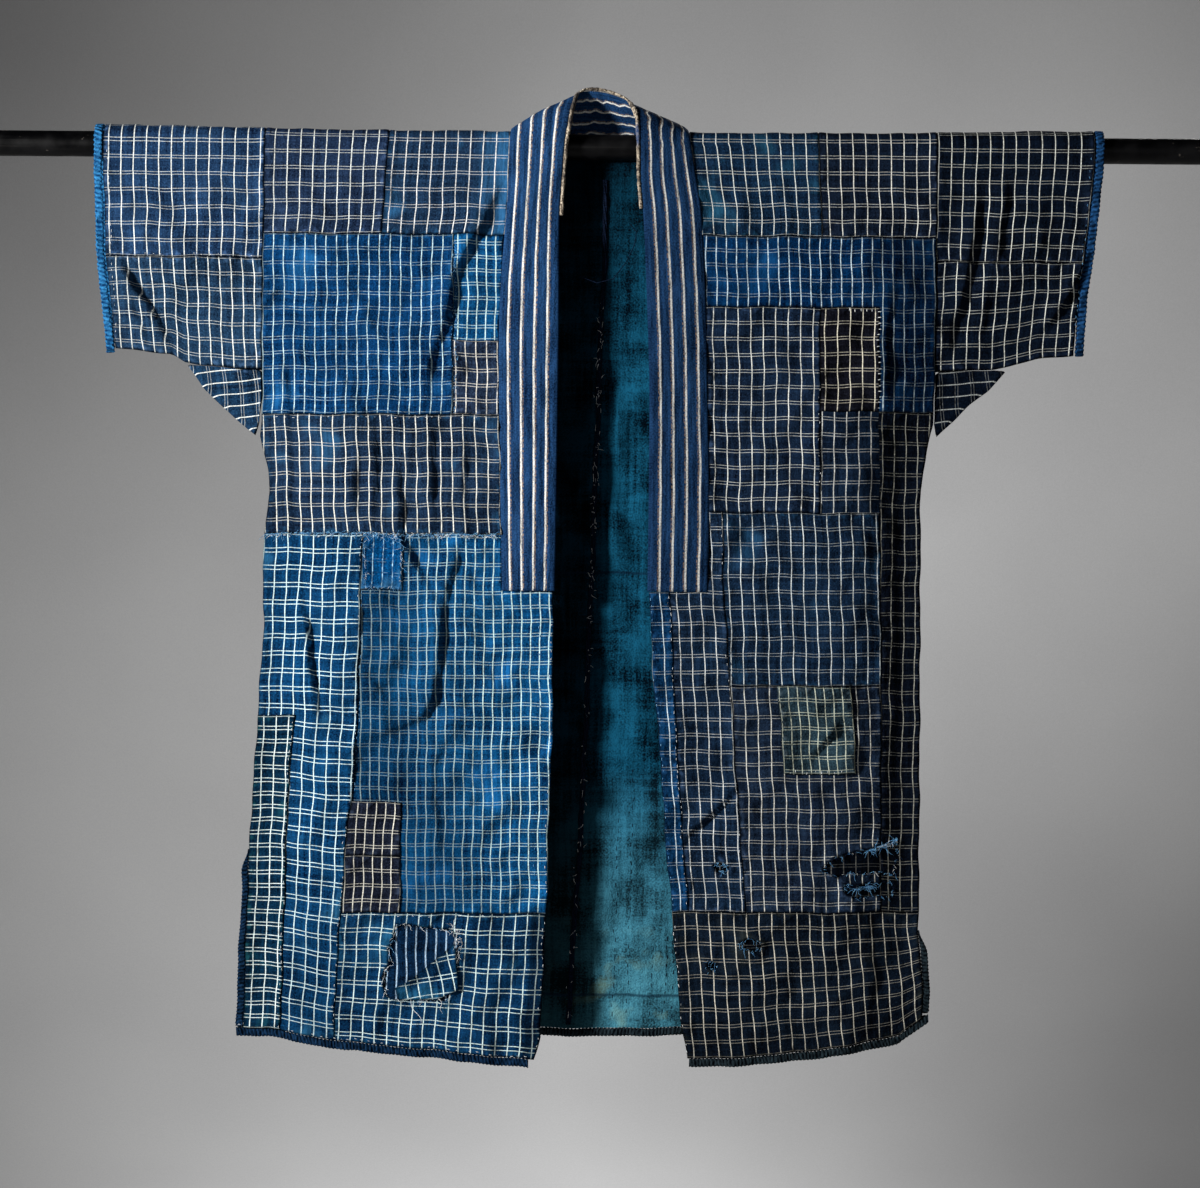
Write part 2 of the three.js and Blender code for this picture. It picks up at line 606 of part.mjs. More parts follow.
// The collar band, from the wearer's right front, round the neck, to the left front. Each section has the
// edge sewn to the jacket, the free edge, and how far the middle stands out. Sections on the fronts give
// only the height and the two x values, and take their depth from the panels.
const frontSection = (z, sewnX, freeX) => {
  const onFront = (x) => new THREE.Vector3(x, -openDepth(100, z), z);
  return { sewn: onFront(sewnX), free: onFront(freeX), crown: 0.8 };
};
const section = (sewn, free, crown) => ({
  sewn: new THREE.Vector3(...sewn),
  free: new THREE.Vector3(...free),
  crown,
});
const collarSections = [
  frontSection(COLLAR_END, -89.8, -42),
  frontSection(-345, -91.8, -41),
  frontSection(-260, -93.5, -40.5),
  frontSection(-188, -94.5, -40),
  frontSection(-125, -92.4, -40),
  frontSection(-68, -88.4, -40),
  frontSection(-30, -86.3, -38),
  section([-85.5, -13.9, 0], [-35, -19, 4], 1),
  section([-84.5, -10.5, 10], [-32, -19, 18], 2),
  section([-83, -2, 15], [-30, -14, 29], 3.5),
  section([-78, 7, 14.5], [-27, -6, 39], 5),
  section([-66, 13.9, 10.5], [-24, 3, 48], 5),
  section([-46, 14.6, 8.5], [-19, 9, 53], 3),
  section([-22, 14.6, 8.2], [-11, 12, 55], 1),
  section([4, 14.6, 8.2], [2, 12.5, 54], 1),
  section([26, 14.6, 8.2], [15, 11, 50.5], 1.5),
  section([48, 14.6, 8.5], [26, 7, 45], 3),
  section([66, 13.9, 10.5], [31, 1, 39], 4.5),
  section([78, 7, 14.5], [35, -7, 32], 4),
  section([82.5, -2, 15], [38, -14, 24], 3),
  section([84.5, -10.5, 10], [39, -19, 14], 2),
  section([86.5, -13.9, 0], [40, -19, 2], 1),
  frontSection(-30, 91.2, 41),
  frontSection(-61, 96.3, 43.5),
  frontSection(-106, 99.3, 46),
  frontSection(-176, 102.3, 49),
  frontSection(-245, 104, 51),
  frontSection(-341, 106.2, 51),
  frontSection(COLLAR_END, 105.2, 50.5),
];
const CORD_FROM = 5;
const CORD_TO = 23;
const CORD_WIDTH = 5.2;
const CORD_CLEARANCE = 1.7;

function outwardOf(i) {
  const before = collarSections[Math.max(i - 1, 0)];
  const after = collarSections[Math.min(i + 1, collarSections.length - 1)];
  const run = after.sewn.clone().add(after.free).sub(before.sewn).sub(before.free);
  const { sewn, free } = collarSections[i];
  return free.clone().sub(sewn).cross(run).normalize();
}

function addCollar() {
  const columns = 5;
  const at = (r, c, out) => {
    const { sewn, free, crown } = collarSections[r];
    const share = c / (columns - 1);
    const rise = crown * 4 * share * (1 - share) + out;
    return sewn.clone().lerp(free, share).addScaledVector(outwardOf(r), rise);
  };
  add("collar", wall({ rows: collarSections.length, columns, at }, [0, BAND]), stripe);

  // The worn edge of the band round the neck is a thick cord-like strip along its free edge.
  const cordAt = (r, c, out) => {
    const { sewn, free } = collarSections[r + CORD_FROM];
    const across = free.clone().sub(sewn).normalize();
    const beyond = c === 0 ? CORD_CLEARANCE : CORD_WIDTH;
    return free.clone().addScaledVector(across, beyond).addScaledVector(outwardOf(r + CORD_FROM), out);
  };
  const rows = CORD_TO - CORD_FROM + 1;
  add("collar_edge", wall({ rows, columns: 2, at: cordAt }, [-0.2, BAND + 0.4]), ivory);
}

function addRod() {
  const geometry = new THREE.CylinderGeometry(ROD_RADIUS, ROD_RADIUS, 2 * ROD_HALF_LENGTH, ROD_SIDES);
  geometry.rotateZ(Math.PI / 2);
  add("rod", geometry, 0x0b0b0c, 0.45);
}

addRod();
addShoulders();
addRightFront();
addTornFlap();
addLeftFront();
addBack();
addSleeves();
addBindings();
addCollar();

export default jacket;
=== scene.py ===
"""A patched boro jacket hung on a round rod: the looks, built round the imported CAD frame.

Garment sizes are in millimetres in the CAD's own frame and are turned into metres when a mesh is made.
"right" and "left" are the wearer's: right is the -X side. The front faces -Y.
"""

import math

import bpy
import numpy as np
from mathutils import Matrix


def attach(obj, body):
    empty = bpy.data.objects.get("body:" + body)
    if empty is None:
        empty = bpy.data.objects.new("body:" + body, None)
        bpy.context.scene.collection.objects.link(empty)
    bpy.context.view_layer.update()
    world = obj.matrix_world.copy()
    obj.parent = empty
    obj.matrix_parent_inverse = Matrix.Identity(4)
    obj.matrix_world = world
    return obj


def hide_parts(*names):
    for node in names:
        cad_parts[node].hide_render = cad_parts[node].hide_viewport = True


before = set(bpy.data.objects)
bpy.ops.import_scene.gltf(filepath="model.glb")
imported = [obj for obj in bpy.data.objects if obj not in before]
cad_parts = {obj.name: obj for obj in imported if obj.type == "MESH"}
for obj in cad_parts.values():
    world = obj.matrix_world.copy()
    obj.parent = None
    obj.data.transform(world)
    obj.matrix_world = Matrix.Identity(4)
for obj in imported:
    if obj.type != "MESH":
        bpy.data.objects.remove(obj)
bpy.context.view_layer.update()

MM = 0.001
FRONT = -1
BACK = 1


# ---------------------------------------------------------------------------------------------------------
# Camera, light and stage

CAMERA_DISTANCE = 3.5
FRAME_WIDTH = 1.1556  # width of the view at the fronts' depth
FRONT_DEPTH = 0.021
VIEW_HEIGHT = -0.4326
ROLL = math.radians(-0.42)
ROOM_RADIUS = 6.5
ROOM_BEND = 1.9
ROOM_SIDES = 120
FLOOR = -1.9


def add_camera():
    data = bpy.data.cameras.new("camera")
    data.sensor_width = 36
    data.lens = data.sensor_width * (CAMERA_DISTANCE - FRONT_DEPTH) / FRAME_WIDTH
    camera = bpy.data.objects.new("camera", data)
    camera.location = (0.0032, -CAMERA_DISTANCE, VIEW_HEIGHT)
    camera.rotation_euler = (math.pi / 2, ROLL, 0)
    bpy.context.scene.collection.objects.link(camera)
    bpy.context.scene.camera = camera


def add_area_light(name, place, target, size, power, colour=(1, 1, 1)):
    data = bpy.data.lights.new(name, "AREA")
    data.shape = "SQUARE"
    data.size = size
    data.energy = power
    data.color = colour
    light = bpy.data.objects.new(name, data)
    light.visible_camera = False
    light.location = place
    away = np.array(place) - np.array(target)
    flat = math.hypot(away[0], away[1])
    light.rotation_euler = (math.atan2(flat, away[2]), 0, math.atan2(away[0], -away[1]))
    bpy.context.scene.collection.objects.link(light)


def add_lights():
    middle = (0, 0, -0.4)
    add_area_light("key", (-2.3, -1.75, 0.15), middle, 0.33, 140, (1, 0.985, 0.96))
    add_area_light("fill", (0.3, -3.4, 0.3), middle, 1.6, 1.3, (0.9, 0.95, 1))
    add_area_light("backdrop_low", (-0.1, 3.8, -1.2), (-0.1, 6.3, -1.65), 0.75, 54)
    add_area_light("backdrop_high", (0.65, 4.35, 0.3), (0.65, 6.5, 0.3), 0.75, 33)
    add_area_light("back_key", (1.5, 2.3, 0.9), middle, 0.8, 95, (1, 0.985, 0.96))
    add_area_light("front_wall", (0, -4.9, -0.6), (0, -6.4, -0.8), 1.2, 40)
    world = bpy.data.worlds.new("world")
    world.use_nodes = True
    world.node_tree.nodes["Background"].inputs["Color"].default_value = (0.8, 0.88, 1, 1)
    world.node_tree.nodes["Background"].inputs["Strength"].default_value = 0.006
    bpy.context.scene.world = world
    bpy.context.scene.view_settings.view_transform = "Standard"


# ---------------------------------------------------------------------------------------------------------
# Numbers shared with the CAD: outlines as [z, x] or [x, z] points, and the garment's depth

RIGHT_SIDE = [
    [20, -323], [-267, -325], [-281, -327], [-312, -320], [-335, -317], [-393, -324], [-460, -322],
    [-527, -326], [-585, -329], [-662, -334], [-800, -337], [-900, -338],
]
LEFT_SIDE = [
    [20, 326], [-267, 325], [-292, 318], [-330, 313], [-619, 314], [-754, 314], [-783, 316], [-812, 318],
    [-900, 320],
]
RIGHT_COLLAR_SEAM = [[20, -86], [-30, -87], [-68, -89], [-125, -93], [-188, -95], [-260, -94], [-430, -90]]
LEFT_COLLAR_SEAM = [[20, 85], [-30, 92], [-61, 97], [-106, 100], [-176, 103], [-341, 107], [-430, 106]]
RIGHT_OPENING = [[-430, -42], [-574, -41], [-631, -44], [-708, -45], [-860, -51], [-900, -63]]
LEFT_OPENING = [
    [-430, 51], [-503, 54], [-594, 63], [-674, 68], [-729, 74], [-767, 77], [-837, 83], [-900, 94],
]
RIGHT_CUFF = [[20, -488], [-28, -488], [-105, -485], [-143, -482], [-197, -477]]
LEFT_CUFF = [[20, 487], [-21, 486], [-59, 482], [-98, 478], [-136, 473], [-194, 470]]
RIGHT_HEM = [[-345, -862], [-312, -863], [-239, -874], [-167, -880], [-63, -890], [-40, -890]]
LEFT_HEM = [[70, -888], [92, -888], [161, -885], [247, -875], [295, -865], [330, -841]]
BACK_HEM = [[-345, -860], [0, -864], [215, -859], [330, -846]]
RIGHT_CLOSING = [
    [-520, -193], [-477, -197], [-413, -203], [-401, -211], [-353, -262], [-327, -281], [-318, -330],
    [-324, -460], [-334, -662], [-338, -900],
]
LEFT_CLOSING = [
    [520, -190], [470, -194], [425, -202], [397, -210], [348, -257], [323, -280], [314, -330],
    [314, -619], [315, -756], [320, -900],
]
ROD_RADIUS = 12.5
ROD_HALF_LENGTH = 620
ROD_CLOTH_STEP = 3.4
HANG_RADIUS = 13.6  # of the cloth over the rod
CUFF_LOFT = 3.4
BELLY = 6.4  # how far the body stands out
SIDE_DEPTH = 0.35
SIDE_TAPER = 90  # how far in from the closed sides the cloth opens out
VENT_DEPTH = 6
MOST_LOOSE = 11.5  # how far folds and creases may take the cloth from its even shape
YOKE = -87
SLEEVE_SEAM = -110
COLLAR_END = -430
RIGHT_VENT = -682
LEFT_VENT = -756
BINDING_WIDTH = 8.5
BAND = 4.6
NECK_BACK = 550  # along the collar, where it passes behind the neck
PUCKER = 0.42
TORN_LIFT = 1.2
TURNED_EDGE = 0.45
PRESSED = 1.9  # how far a base cloth is pressed down under its patches
LEAST_DEPTH = 0.3
CREASE_PULL_X = 0.2  # how far a crease draws the cloth's pattern along, and then down
CREASE_PULL_Z = 0.12
BINDING_LUMPS = 0.22

# The broad folds of the CAD: x and z at the two ends, half width, and height
FRONT_FOLDS = [
    [-128, -385, -152, -535, 24, 4.5], [-172, -400, -178, -560, 24, -3], [-150, -585, -160, -705, 24, 3.5],
    [-281, -445, -272, -549, 22, 3], [-300, -210, -297, -374, 20, 2.5], [-110, -760, -118, -880, 30, 3],
    [-270, -750, -280, -870, 30, 3], [131, -600, 84, -665, 22, -3], [170, -560, 176, -730, 28, 3],
    [236, -553, 205, -600, 22, -2.5], [285, -420, 288, -620, 20, -2], [150, -780, 140, -880, 30, 3.5],
    [364, -2, 336, -195, 20, -3.5], [-447, -125, -415, -190, 20, -2.5], [455, -115, 428, -172, 20, -2.5],
]
BACK_FOLDS = [
    [-60, -150, -80, -840, 34, 3], [-200, -260, -230, -840, 34, 3.5], [-135, -300, -150, -700, 26, -2.5],
    [70, -160, 60, -840, 34, -3], [165, -240, 190, -840, 36, 4], [250, -420, 262, -800, 28, -2.5],
    [-440, -60, -425, -180, 22, -2], [430, -50, 412, -180, 22, -2.5],
]

# Sharp creases: points along the crest, height, how gently the cloth rises to it on the left, and how
# steeply it falls away on the right
FRONT_CREASES = [
    ([(-134, -378), (-138, -405), (-145, -424), (-150, -455), (-153, -499), (-158, -533), (-168, -550),
      (-190, -561), (-216, -571)], 8.2, 18, 3.2),
    ([(-192, -376), (-176, -408), (-158, -436), (-151, -462)], 5.2, 10, 3.0),
    ([(-96, -16), (-103, -50), (-113, -77), (-132, -106)], 3.0, 12, 4.0),
    ([(-103, -40), (-116, -77), (-143, -129), (-149, -174), (-164, -208), (-169, -262)], 6.2, 17, 3.8),
    ([(-288, -430), (-282, -461), (-277, -504), (-272, -530), (-271, -562)], 12.0, 13, 2.6),
    ([(-141, -567), (-154, -588), (-159, -627), (-150, -676), (-162, -706)], 3.0, 13, 3.6),
    ([(-311, -190), (-301, -240), (-298, -374), (-299, -430)], 6.0, 9, 3.2),
    ([(-196, -300), (-190, -350), (-192, -400)], 4.0, 8, 2.8),
    ([(-160, -266), (-162, -320), (-157, -376)], 4.8, 9, 2.8),
    ([(-218, -268), (-215, -330), (-219, -372)], 3.6, 8, 2.8),
    ([(-128, -272), (-131, -330), (-126, -370)], 3.0, 7, 3),
    ([(-232, -265), (-236, -330), (-233, -372)], 3.4, 10, 3.4),
    ([(-463, -112), (-452, -140), (-436, -157), (-427, -173), (-413, -204)], 8.6, 11, 2.6),
    ([(-457, -150), (-443, -179), (-435, -199)], 5.6, 8, 2.6),
    ([(-404, -125), (-380, -150), (-372, -180)], 1.6, 12, 6),
    ([(-341, -216), (-336, -251), (-327, -281)], 3.0, 8, 3),
    ([(-262, -610), (-270, -660), (-268, -720)], 2.2, 12, 6),
    ([(-206, -830), (-214, -870)], 2.2, 10, 5),
    ([(-96, -800), (-104, -850), (-100, -884)], 2.4, 14, 7),
    ([(-292, -780), (-286, -850)], 2.6, 10, 5),
    ([(138, -612), (118, -636), (102, -651), (82, -670)], 5.6, 9, 2.5),
    ([(240, -545), (222, -568), (204, -594)], 4.8, 9, 2.6),
    ([(366, 2), (364, -51), (360, -89), (348, -147), (334, -205)], 6.4, 14, 4.2),
    ([(398, -6), (388, -60), (380, -128)], 4.2, 12, 4.0),
    ([(376, -120), (370, -160), (372, -200)], 2.6, 9, 3.4),
    ([(430, -10), (424, -60), (428, -100)], 2.2, 14, 8),
    ([(472, -96), (455, -135), (437, -164), (420, -184)], 8.2, 10, 3.0),
    ([(397, -165), (396, -202)], 2.2, 8, 4),
    ([(288, -100), (276, -170), (279, -270)], 3.4, 11, 4.2),
    ([(262, -270), (258, -380), (264, -500)], 2.6, 16, 8),
    ([(284, -300), (286, -400), (288, -520), (284, -640)], 4.6, 9, 5),
    ([(160, -400), (154, -500), (160, -560)], 1.8, 14, 8),
    ([(214, -610), (210, -690), (216, -730)], 2.2, 14, 7),
    ([(262, -740), (268, -800), (262, -860)], 2.8, 12, 6),
    ([(186, -760), (182, -830), (190, -876)], 2.2, 14, 7),
    ([(130, -30), (140, -80), (136, -150)], 2.0, 12, 7),
]
BACK_CREASES = [
    ([(8, -170), (15, -260), (8, -360), (14, -460)], 4.5, 9, 4),
    ([(38, -250), (34, -330), (40, -430)], 2.6, 10, 5),
    ([(14, -548), (34, -566), (52, -600)], 3.2, 8, 4),
    ([(22, -640), (30, -720), (26, -800)], 2.4, 12, 6),
    ([(-96, -60), (-128, -150), (-150, -230)], 4.0, 16, 7),
    ([(-180, -300), (-196, -420), (-190, -560)], 3.6, 18, 8),
    ([(-262, -500), (-270, -640), (-264, -760)], 3.0, 14, 6),
    ([(110, -70), (140, -160), (158, -260)], 4.0, 16, 7),
    ([(200, -420), (190, -540), (204, -660)], 3.4, 16, 7),
    ([(60, -560), (52, -700), (60, -840)], 2.6, 16, 8),
    ([(-40, -620), (-46, -740), (-36, -850)], 2.4, 16, 8),
    ([(372, -10), (360, -90), (345, -190)], 4.0, 14, 6),
    ([(-370, -10), (-362, -90), (-350, -190)], 3.6, 14, 6),
    ([(-450, -110), (-426, -190)], 3.0, 10, 5),
    ([(285, -270), (292, -420), (288, -560)], 2.8, 10, 6),
]


def along(points, t):
    """The value at t of a line through [t, value] points, held level past its ends."""
    line = sorted(points)
    return np.interp(t, [p[0] for p in line], [p[1] for p in line])


def smooth(t):
    t = np.clip(t, 0, 1)
    return t * t * (3 - 2 * t)


def to_segment(x, z, a, b):
    """How far (x, z) is from segment a-b, the nearest point's share along it, and on which side it lies."""
    dx, dz = b[0] - a[0], b[1] - a[1]
    t = np.clip(((x - a[0]) * dx + (z - a[1]) * dz) / (dx * dx + dz * dz), 0, 1)
    away = np.hypot(x - a[0] - t * dx, z - a[1] - t * dz)
    return away, t, dx * (z - a[1]) - dz * (x - a[0])


def to_closing(x, z):
    nearest = np.full(np.shape(x), 1e9)
    for line, side in ((RIGHT_CLOSING, x < 0), (LEFT_CLOSING, x >= 0)):
        for a, b in zip(line, line[1:]):
            away = to_segment(x, z, a, b)[0]
            nearest = np.where(side, np.minimum(nearest, away), nearest)
    return nearest


def crease_height(x, z, points, height, rise, fall):
    """A crest along the points: it rises gently on the left and drops steeply into a trough on the right."""
    lengths = [math.dist(a, b) for a, b in zip(points, points[1:])]
    total = sum(lengths)
    best = np.full(np.shape(x), 1e9)
    place = np.zeros(np.shape(x))
    turn = np.zeros(np.shape(x))
    run = 0
    for a, b, length in zip(points, points[1:], lengths):
        away, t, cross = to_segment(x, z, a, b)
        near = away < best
        best = np.where(near, away, best)
        place = np.where(near, (run + t * length) / total, place)
        turn = np.where(near, cross, turn)
        run += length
    ends = np.clip(4.6 * place * (1 - place), 0, 1)
    up = np.exp(-((best / rise) ** 2))
    down = 1.55 * np.exp(-((best / fall) ** 2)) - 0.55 * np.exp(-((best / (3.4 * fall)) ** 2))
    return height * ends * np.where(turn > 0, down, up)


def wave_set(seed, count, shortest, longest, steepness):
    waves = np.random.default_rng(seed)
    lengths = np.exp(waves.uniform(np.log(shortest), np.log(longest), count))
    turns = waves.uniform(0, math.pi, count)
    phases = waves.uniform(0, 2 * math.pi, count)
    return [(2 * math.pi / l, a, p, steepness * l) for l, a, p in zip(lengths, turns, phases)]


RUMPLES = {FRONT: wave_set(3, 34, 11, 75, 0.0088), BACK: wave_set(5, 26, 17, 85, 0.0080)}


def rumple(x, z, side):
    """The small uneven waves of old washed cotton."""
    total = np.zeros(np.shape(x))
    for k, turn, phase, height in RUMPLES[side]:
        across = x * math.cos(turn) + z * math.sin(turn)
        bend = 6 * np.sin(0.021 * (x * math.sin(turn) - z * math.cos(turn)) + phase)
        total = total + height * np.sin(k * (across + bend) + phase)
    return total


def hang_radius(x):
    return HANG_RADIUS + CUFF_LOFT * smooth((np.abs(x) - 200) / 260)


def open_depth(x, z):
    return hang_radius(x) + BELLY * smooth(-z / 150) * smooth((350 - np.abs(x)) / 110)


def crease_sum(x, z, side):
    total = np.zeros(np.shape(x))
    for crease in FRONT_CREASES if side == FRONT else BACK_CREASES:
        total = total + crease_height(x, z, *crease)
    return total


def depth(x, z, side):
    """Distance of the panels' inner face from the plane through the rod."""
    opened = smooth(to_closing(x, z) / SIDE_TAPER)
    vent = np.where(x < 0, RIGHT_VENT, LEFT_VENT)
    parted = VENT_DEPTH * smooth((vent - z) / 120) * (1 - opened)
    folds = np.zeros(np.shape(x))
    for x0, z0, x1, z1, half, height in FRONT_FOLDS if side == FRONT else BACK_FOLDS:
        folds = folds + height * np.exp(-((to_segment(x, z, (x0, z0), (x1, z1))[0] / half) ** 2))
    creases = crease_sum(x, z, side)
    below_rod = smooth((-z - ROD_RADIUS) / 45)
    loose = folds * opened + creases * (0.35 + 0.65 * opened) + rumple(x, z, side) * (0.3 + 0.7 * opened)
    loose = MOST_LOOSE * np.tanh(loose / MOST_LOOSE)
    total = SIDE_DEPTH + (open_depth(x, z) - SIDE_DEPTH) * opened + parted + loose * below_rod
    return np.maximum(total, LEAST_DEPTH)


def on_wall(x, z, side, out, base=None):
    """A point on the front or back. The cloth also drifts a little sideways, so seams aren't ruled lines."""
    base = depth(x, z, side) if base is None else base
    free = smooth(-z / 60)
    drift_x = 0.5 * np.sin(z / 13.1 + 0.4 * np.sin(x / 31)) + 0.3 * np.sin(z / 5.9 + x / 23)
    drift_z = 0.45 * np.sin(x / 12.7 + 0.5 * np.sin(z / 37)) + 0.3 * np.sin(x / 6.1 + z / 29)
    return np.stack([x + drift_x * free, side * (base + out), z + drift_z * free], -1)


def pucker(x, z, side_edge, end_edge):
    """Little waves that the stitches draw up along a seam."""
    down = np.sin(2 * math.pi * z / 9.1 + 1.3 * np.sin(x / 17) + 2 * np.sin(z / 29))
    across = np.sin(2 * math.pi * x / 9.7 + 1.3 * np.sin(z / 19) + 2 * np.sin(x / 31))
    at_side = (1 + down) * np.exp(-((side_edge / 6.5) ** 2))
    at_end = (1 + across) * np.exp(-((end_edge / 6.5) ** 2))
    return PUCKER * np.maximum(at_side, at_end) * (0.45 + 0.55 * np.sin(x / 41 + z / 53) ** 2)


# ---------------------------------------------------------------------------------------------------------
# Meshes

def outward(points, faces):
    """Turns four-cornered faces round if the closed mesh they make is inside out."""
    p = points[faces]
    first = np.einsum("ij,ij->i", p[:, 0], np.cross(p[:, 1], p[:, 2]))
    second = np.einsum("ij,ij->i", p[:, 0], np.cross(p[:, 2], p[:, 3]))
    return faces if first.sum() + second.sum() > 0 else faces[:, ::-1]


def make_object(name, points, faces, cloth=None, edge=None, caps=()):
    """A smooth mesh object. Its points, and the UVs that cloth and edge give them, are in millimetres."""
    used = np.zeros(len(points), bool)
    used[faces.ravel()] = True
    renumber = np.cumsum(used) - 1
    lists = renumber[faces].tolist() + [[int(renumber[i]) for i in cap] for cap in caps]
    mesh = bpy.data.meshes.new(name)
    mesh.from_pydata((points[used] * MM).tolist(), [], lists)
    corners = np.empty(len(mesh.loops), dtype=np.int32)
    mesh.loops.foreach_get("vertex_index", corners)
    for layer_name, values in (("cloth", cloth), ("edge", edge)):
        if values is not None:
            layer = mesh.uv_layers.new(name=layer_name)
            layer.data.foreach_set("uv", (values[used] * MM)[corners].astype(np.float32).ravel())
    mesh.polygons.foreach_set("use_smooth", [True] * len(mesh.polygons))
    mesh.update()
    obj = bpy.data.objects.new(name, mesh)
    bpy.context.scene.collection.objects.link(obj)
    return obj


def closed_sheet(name, outer, inner, cloth, edge, keep=None):
    """A closed thin sheet between two grids of points, over the cells that keep allows."""
    rows, columns = outer.shape[:2]
    if keep is None:
        keep = np.ones((rows - 1, columns - 1), bool)
    index = np.arange(rows * columns).reshape(rows, columns)
    shift = rows * columns
    a, b, c, d = index[:-1, :-1], index[1:, :-1], index[1:, 1:], index[:-1, 1:]
    padded = np.pad(keep, 1)
    quads = [np.stack([a, b, c, d], -1)[keep], np.stack([d, c, b, a], -1)[keep] + shift]
    rims = (
        (a, b, padded[1:-1, :-2]),
        (b, c, padded[2:, 1:-1]),
        (c, d, padded[1:-1, 2:]),
        (d, a, padded[:-2, 1:-1]),
    )
    for start, end, beyond in rims:
        quads.append(np.stack([end, start, start + shift, end + shift], -1)[keep & ~beyond])
    points = np.concatenate([outer.reshape(-1, 3), inner.reshape(-1, 3)])
    faces = outward(points, np.concatenate(quads))
    cloth = np.tile(cloth.reshape(-1, 2), (2, 1))
    edge = np.tile(edge.reshape(-1, 2), (2, 1))
    return make_object(name, points, faces, cloth, edge)


def swept(name, rings, closed=False, width=None):
    """A tube through rings of points (stations, ring, 3). Its UVs run along it and round it."""
    stations, around = rings.shape[:2]
    index = np.arange(stations * around).reshape(stations, around)
    after = np.roll(index, -1, axis=0) if closed else index[1:]
    here = index if closed else index[:-1]
    quads = np.stack([here, after, np.roll(after, -1, axis=1), np.roll(here, -1, axis=1)], -1).reshape(-1, 4)
    points = rings.reshape(-1, 3)
    faces = outward(points, quads)
    flipped = faces is not quads
    caps = ()
    if not closed:
        first, last = index[0].tolist(), index[-1].tolist()
        caps = (first, last[::-1]) if not flipped else (first[::-1], last)
    middle = rings.mean(axis=1)
    run = np.concatenate([[0], np.cumsum(np.linalg.norm(np.diff(middle, axis=0), axis=1))])
    share = np.arange(around) / around
    across = np.tile((width if width is not None else share * 20)[None, :], (stations, 1))
    cloth = np.stack([across, np.tile(run[:, None], (1, around))], -1).reshape(-1, 2)
    return make_object(name, points, faces, cloth, np.full((len(points), 2), 9.0), caps)


def half_surface(obj):
    return sum(p.area for p in obj.data.polygons) / 2


def spaced(length, step):
    """Shares of a length: close together at the two ends and about step apart between them."""
    start = [f for f in (0, 0.8, 2.2, 4.6) if f < length / 3]
    inner = length - 2 * start[-1]
    count = max(2, round(inner / step))
    middle = [start[-1] + inner * i / count for i in range(1, count)]
    return np.array(start + middle + [length - f for f in reversed(start)]) / length


def from_polygon(x, z, polygon):
    """Distance from the polygon's edge: positive inside, negative outside."""
    nearest = np.full(np.shape(x), 1e9)
    inside = np.zeros(np.shape(x), bool)
    for (x0, z0), (x1, z1) in zip(polygon, polygon[1:] + polygon[:1]):
        nearest = np.minimum(nearest, to_segment(x, z, (x0, z0), (x1, z1))[0])
        if z0 != z1:
            inside ^= ((z0 > z) != (z1 > z)) & (x < (x1 - x0) * (z - z0) / (z1 - z0) + x0)
    return np.where(inside, nearest, -nearest)


def nearest_on(x, z, polygon):
    best = (1e9, x, z)
    for a, b in zip(polygon, polygon[1:] + polygon[:1]):
        away, t, _ = to_segment(x, z, a, b)
        if away < best[0]:
            best = (away, a[0] + t * (b[0] - a[0]), a[1] + t * (b[1] - a[1]))
    return best[1], best[2]


def as_line(line):
    return [[-1000, line], [1000, line]] if isinstance(line, (int, float)) else line


def finish_piece(obj, node, slot, material, flat, area=None):
    """Puts a piece of cloth in the frame: what it replaces, rides on and is made of. What it was cut from is
    not used.
    """
    obj.data.materials.append(material)
    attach(obj, "root")
    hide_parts(node)


def finish_strip(obj, node, slot, material, length):
    """A band or binding, whose flat width follows from its surface and its length."""
    finish_piece(obj, node, slot, material, (half_surface(obj) / length, length))


def rounded_edge(edge):
    """The cloth's thickness, rounded off at its cut edge."""
    return 1 - 0.8 * np.clip(1 - edge / 0.8, 0, 1) ** 2


def turned_edge(edge, height):
    """The low ridge of an edge that is turned under and sewn down."""
    return height * np.exp(-(((edge - 3) / 3.0) ** 2))


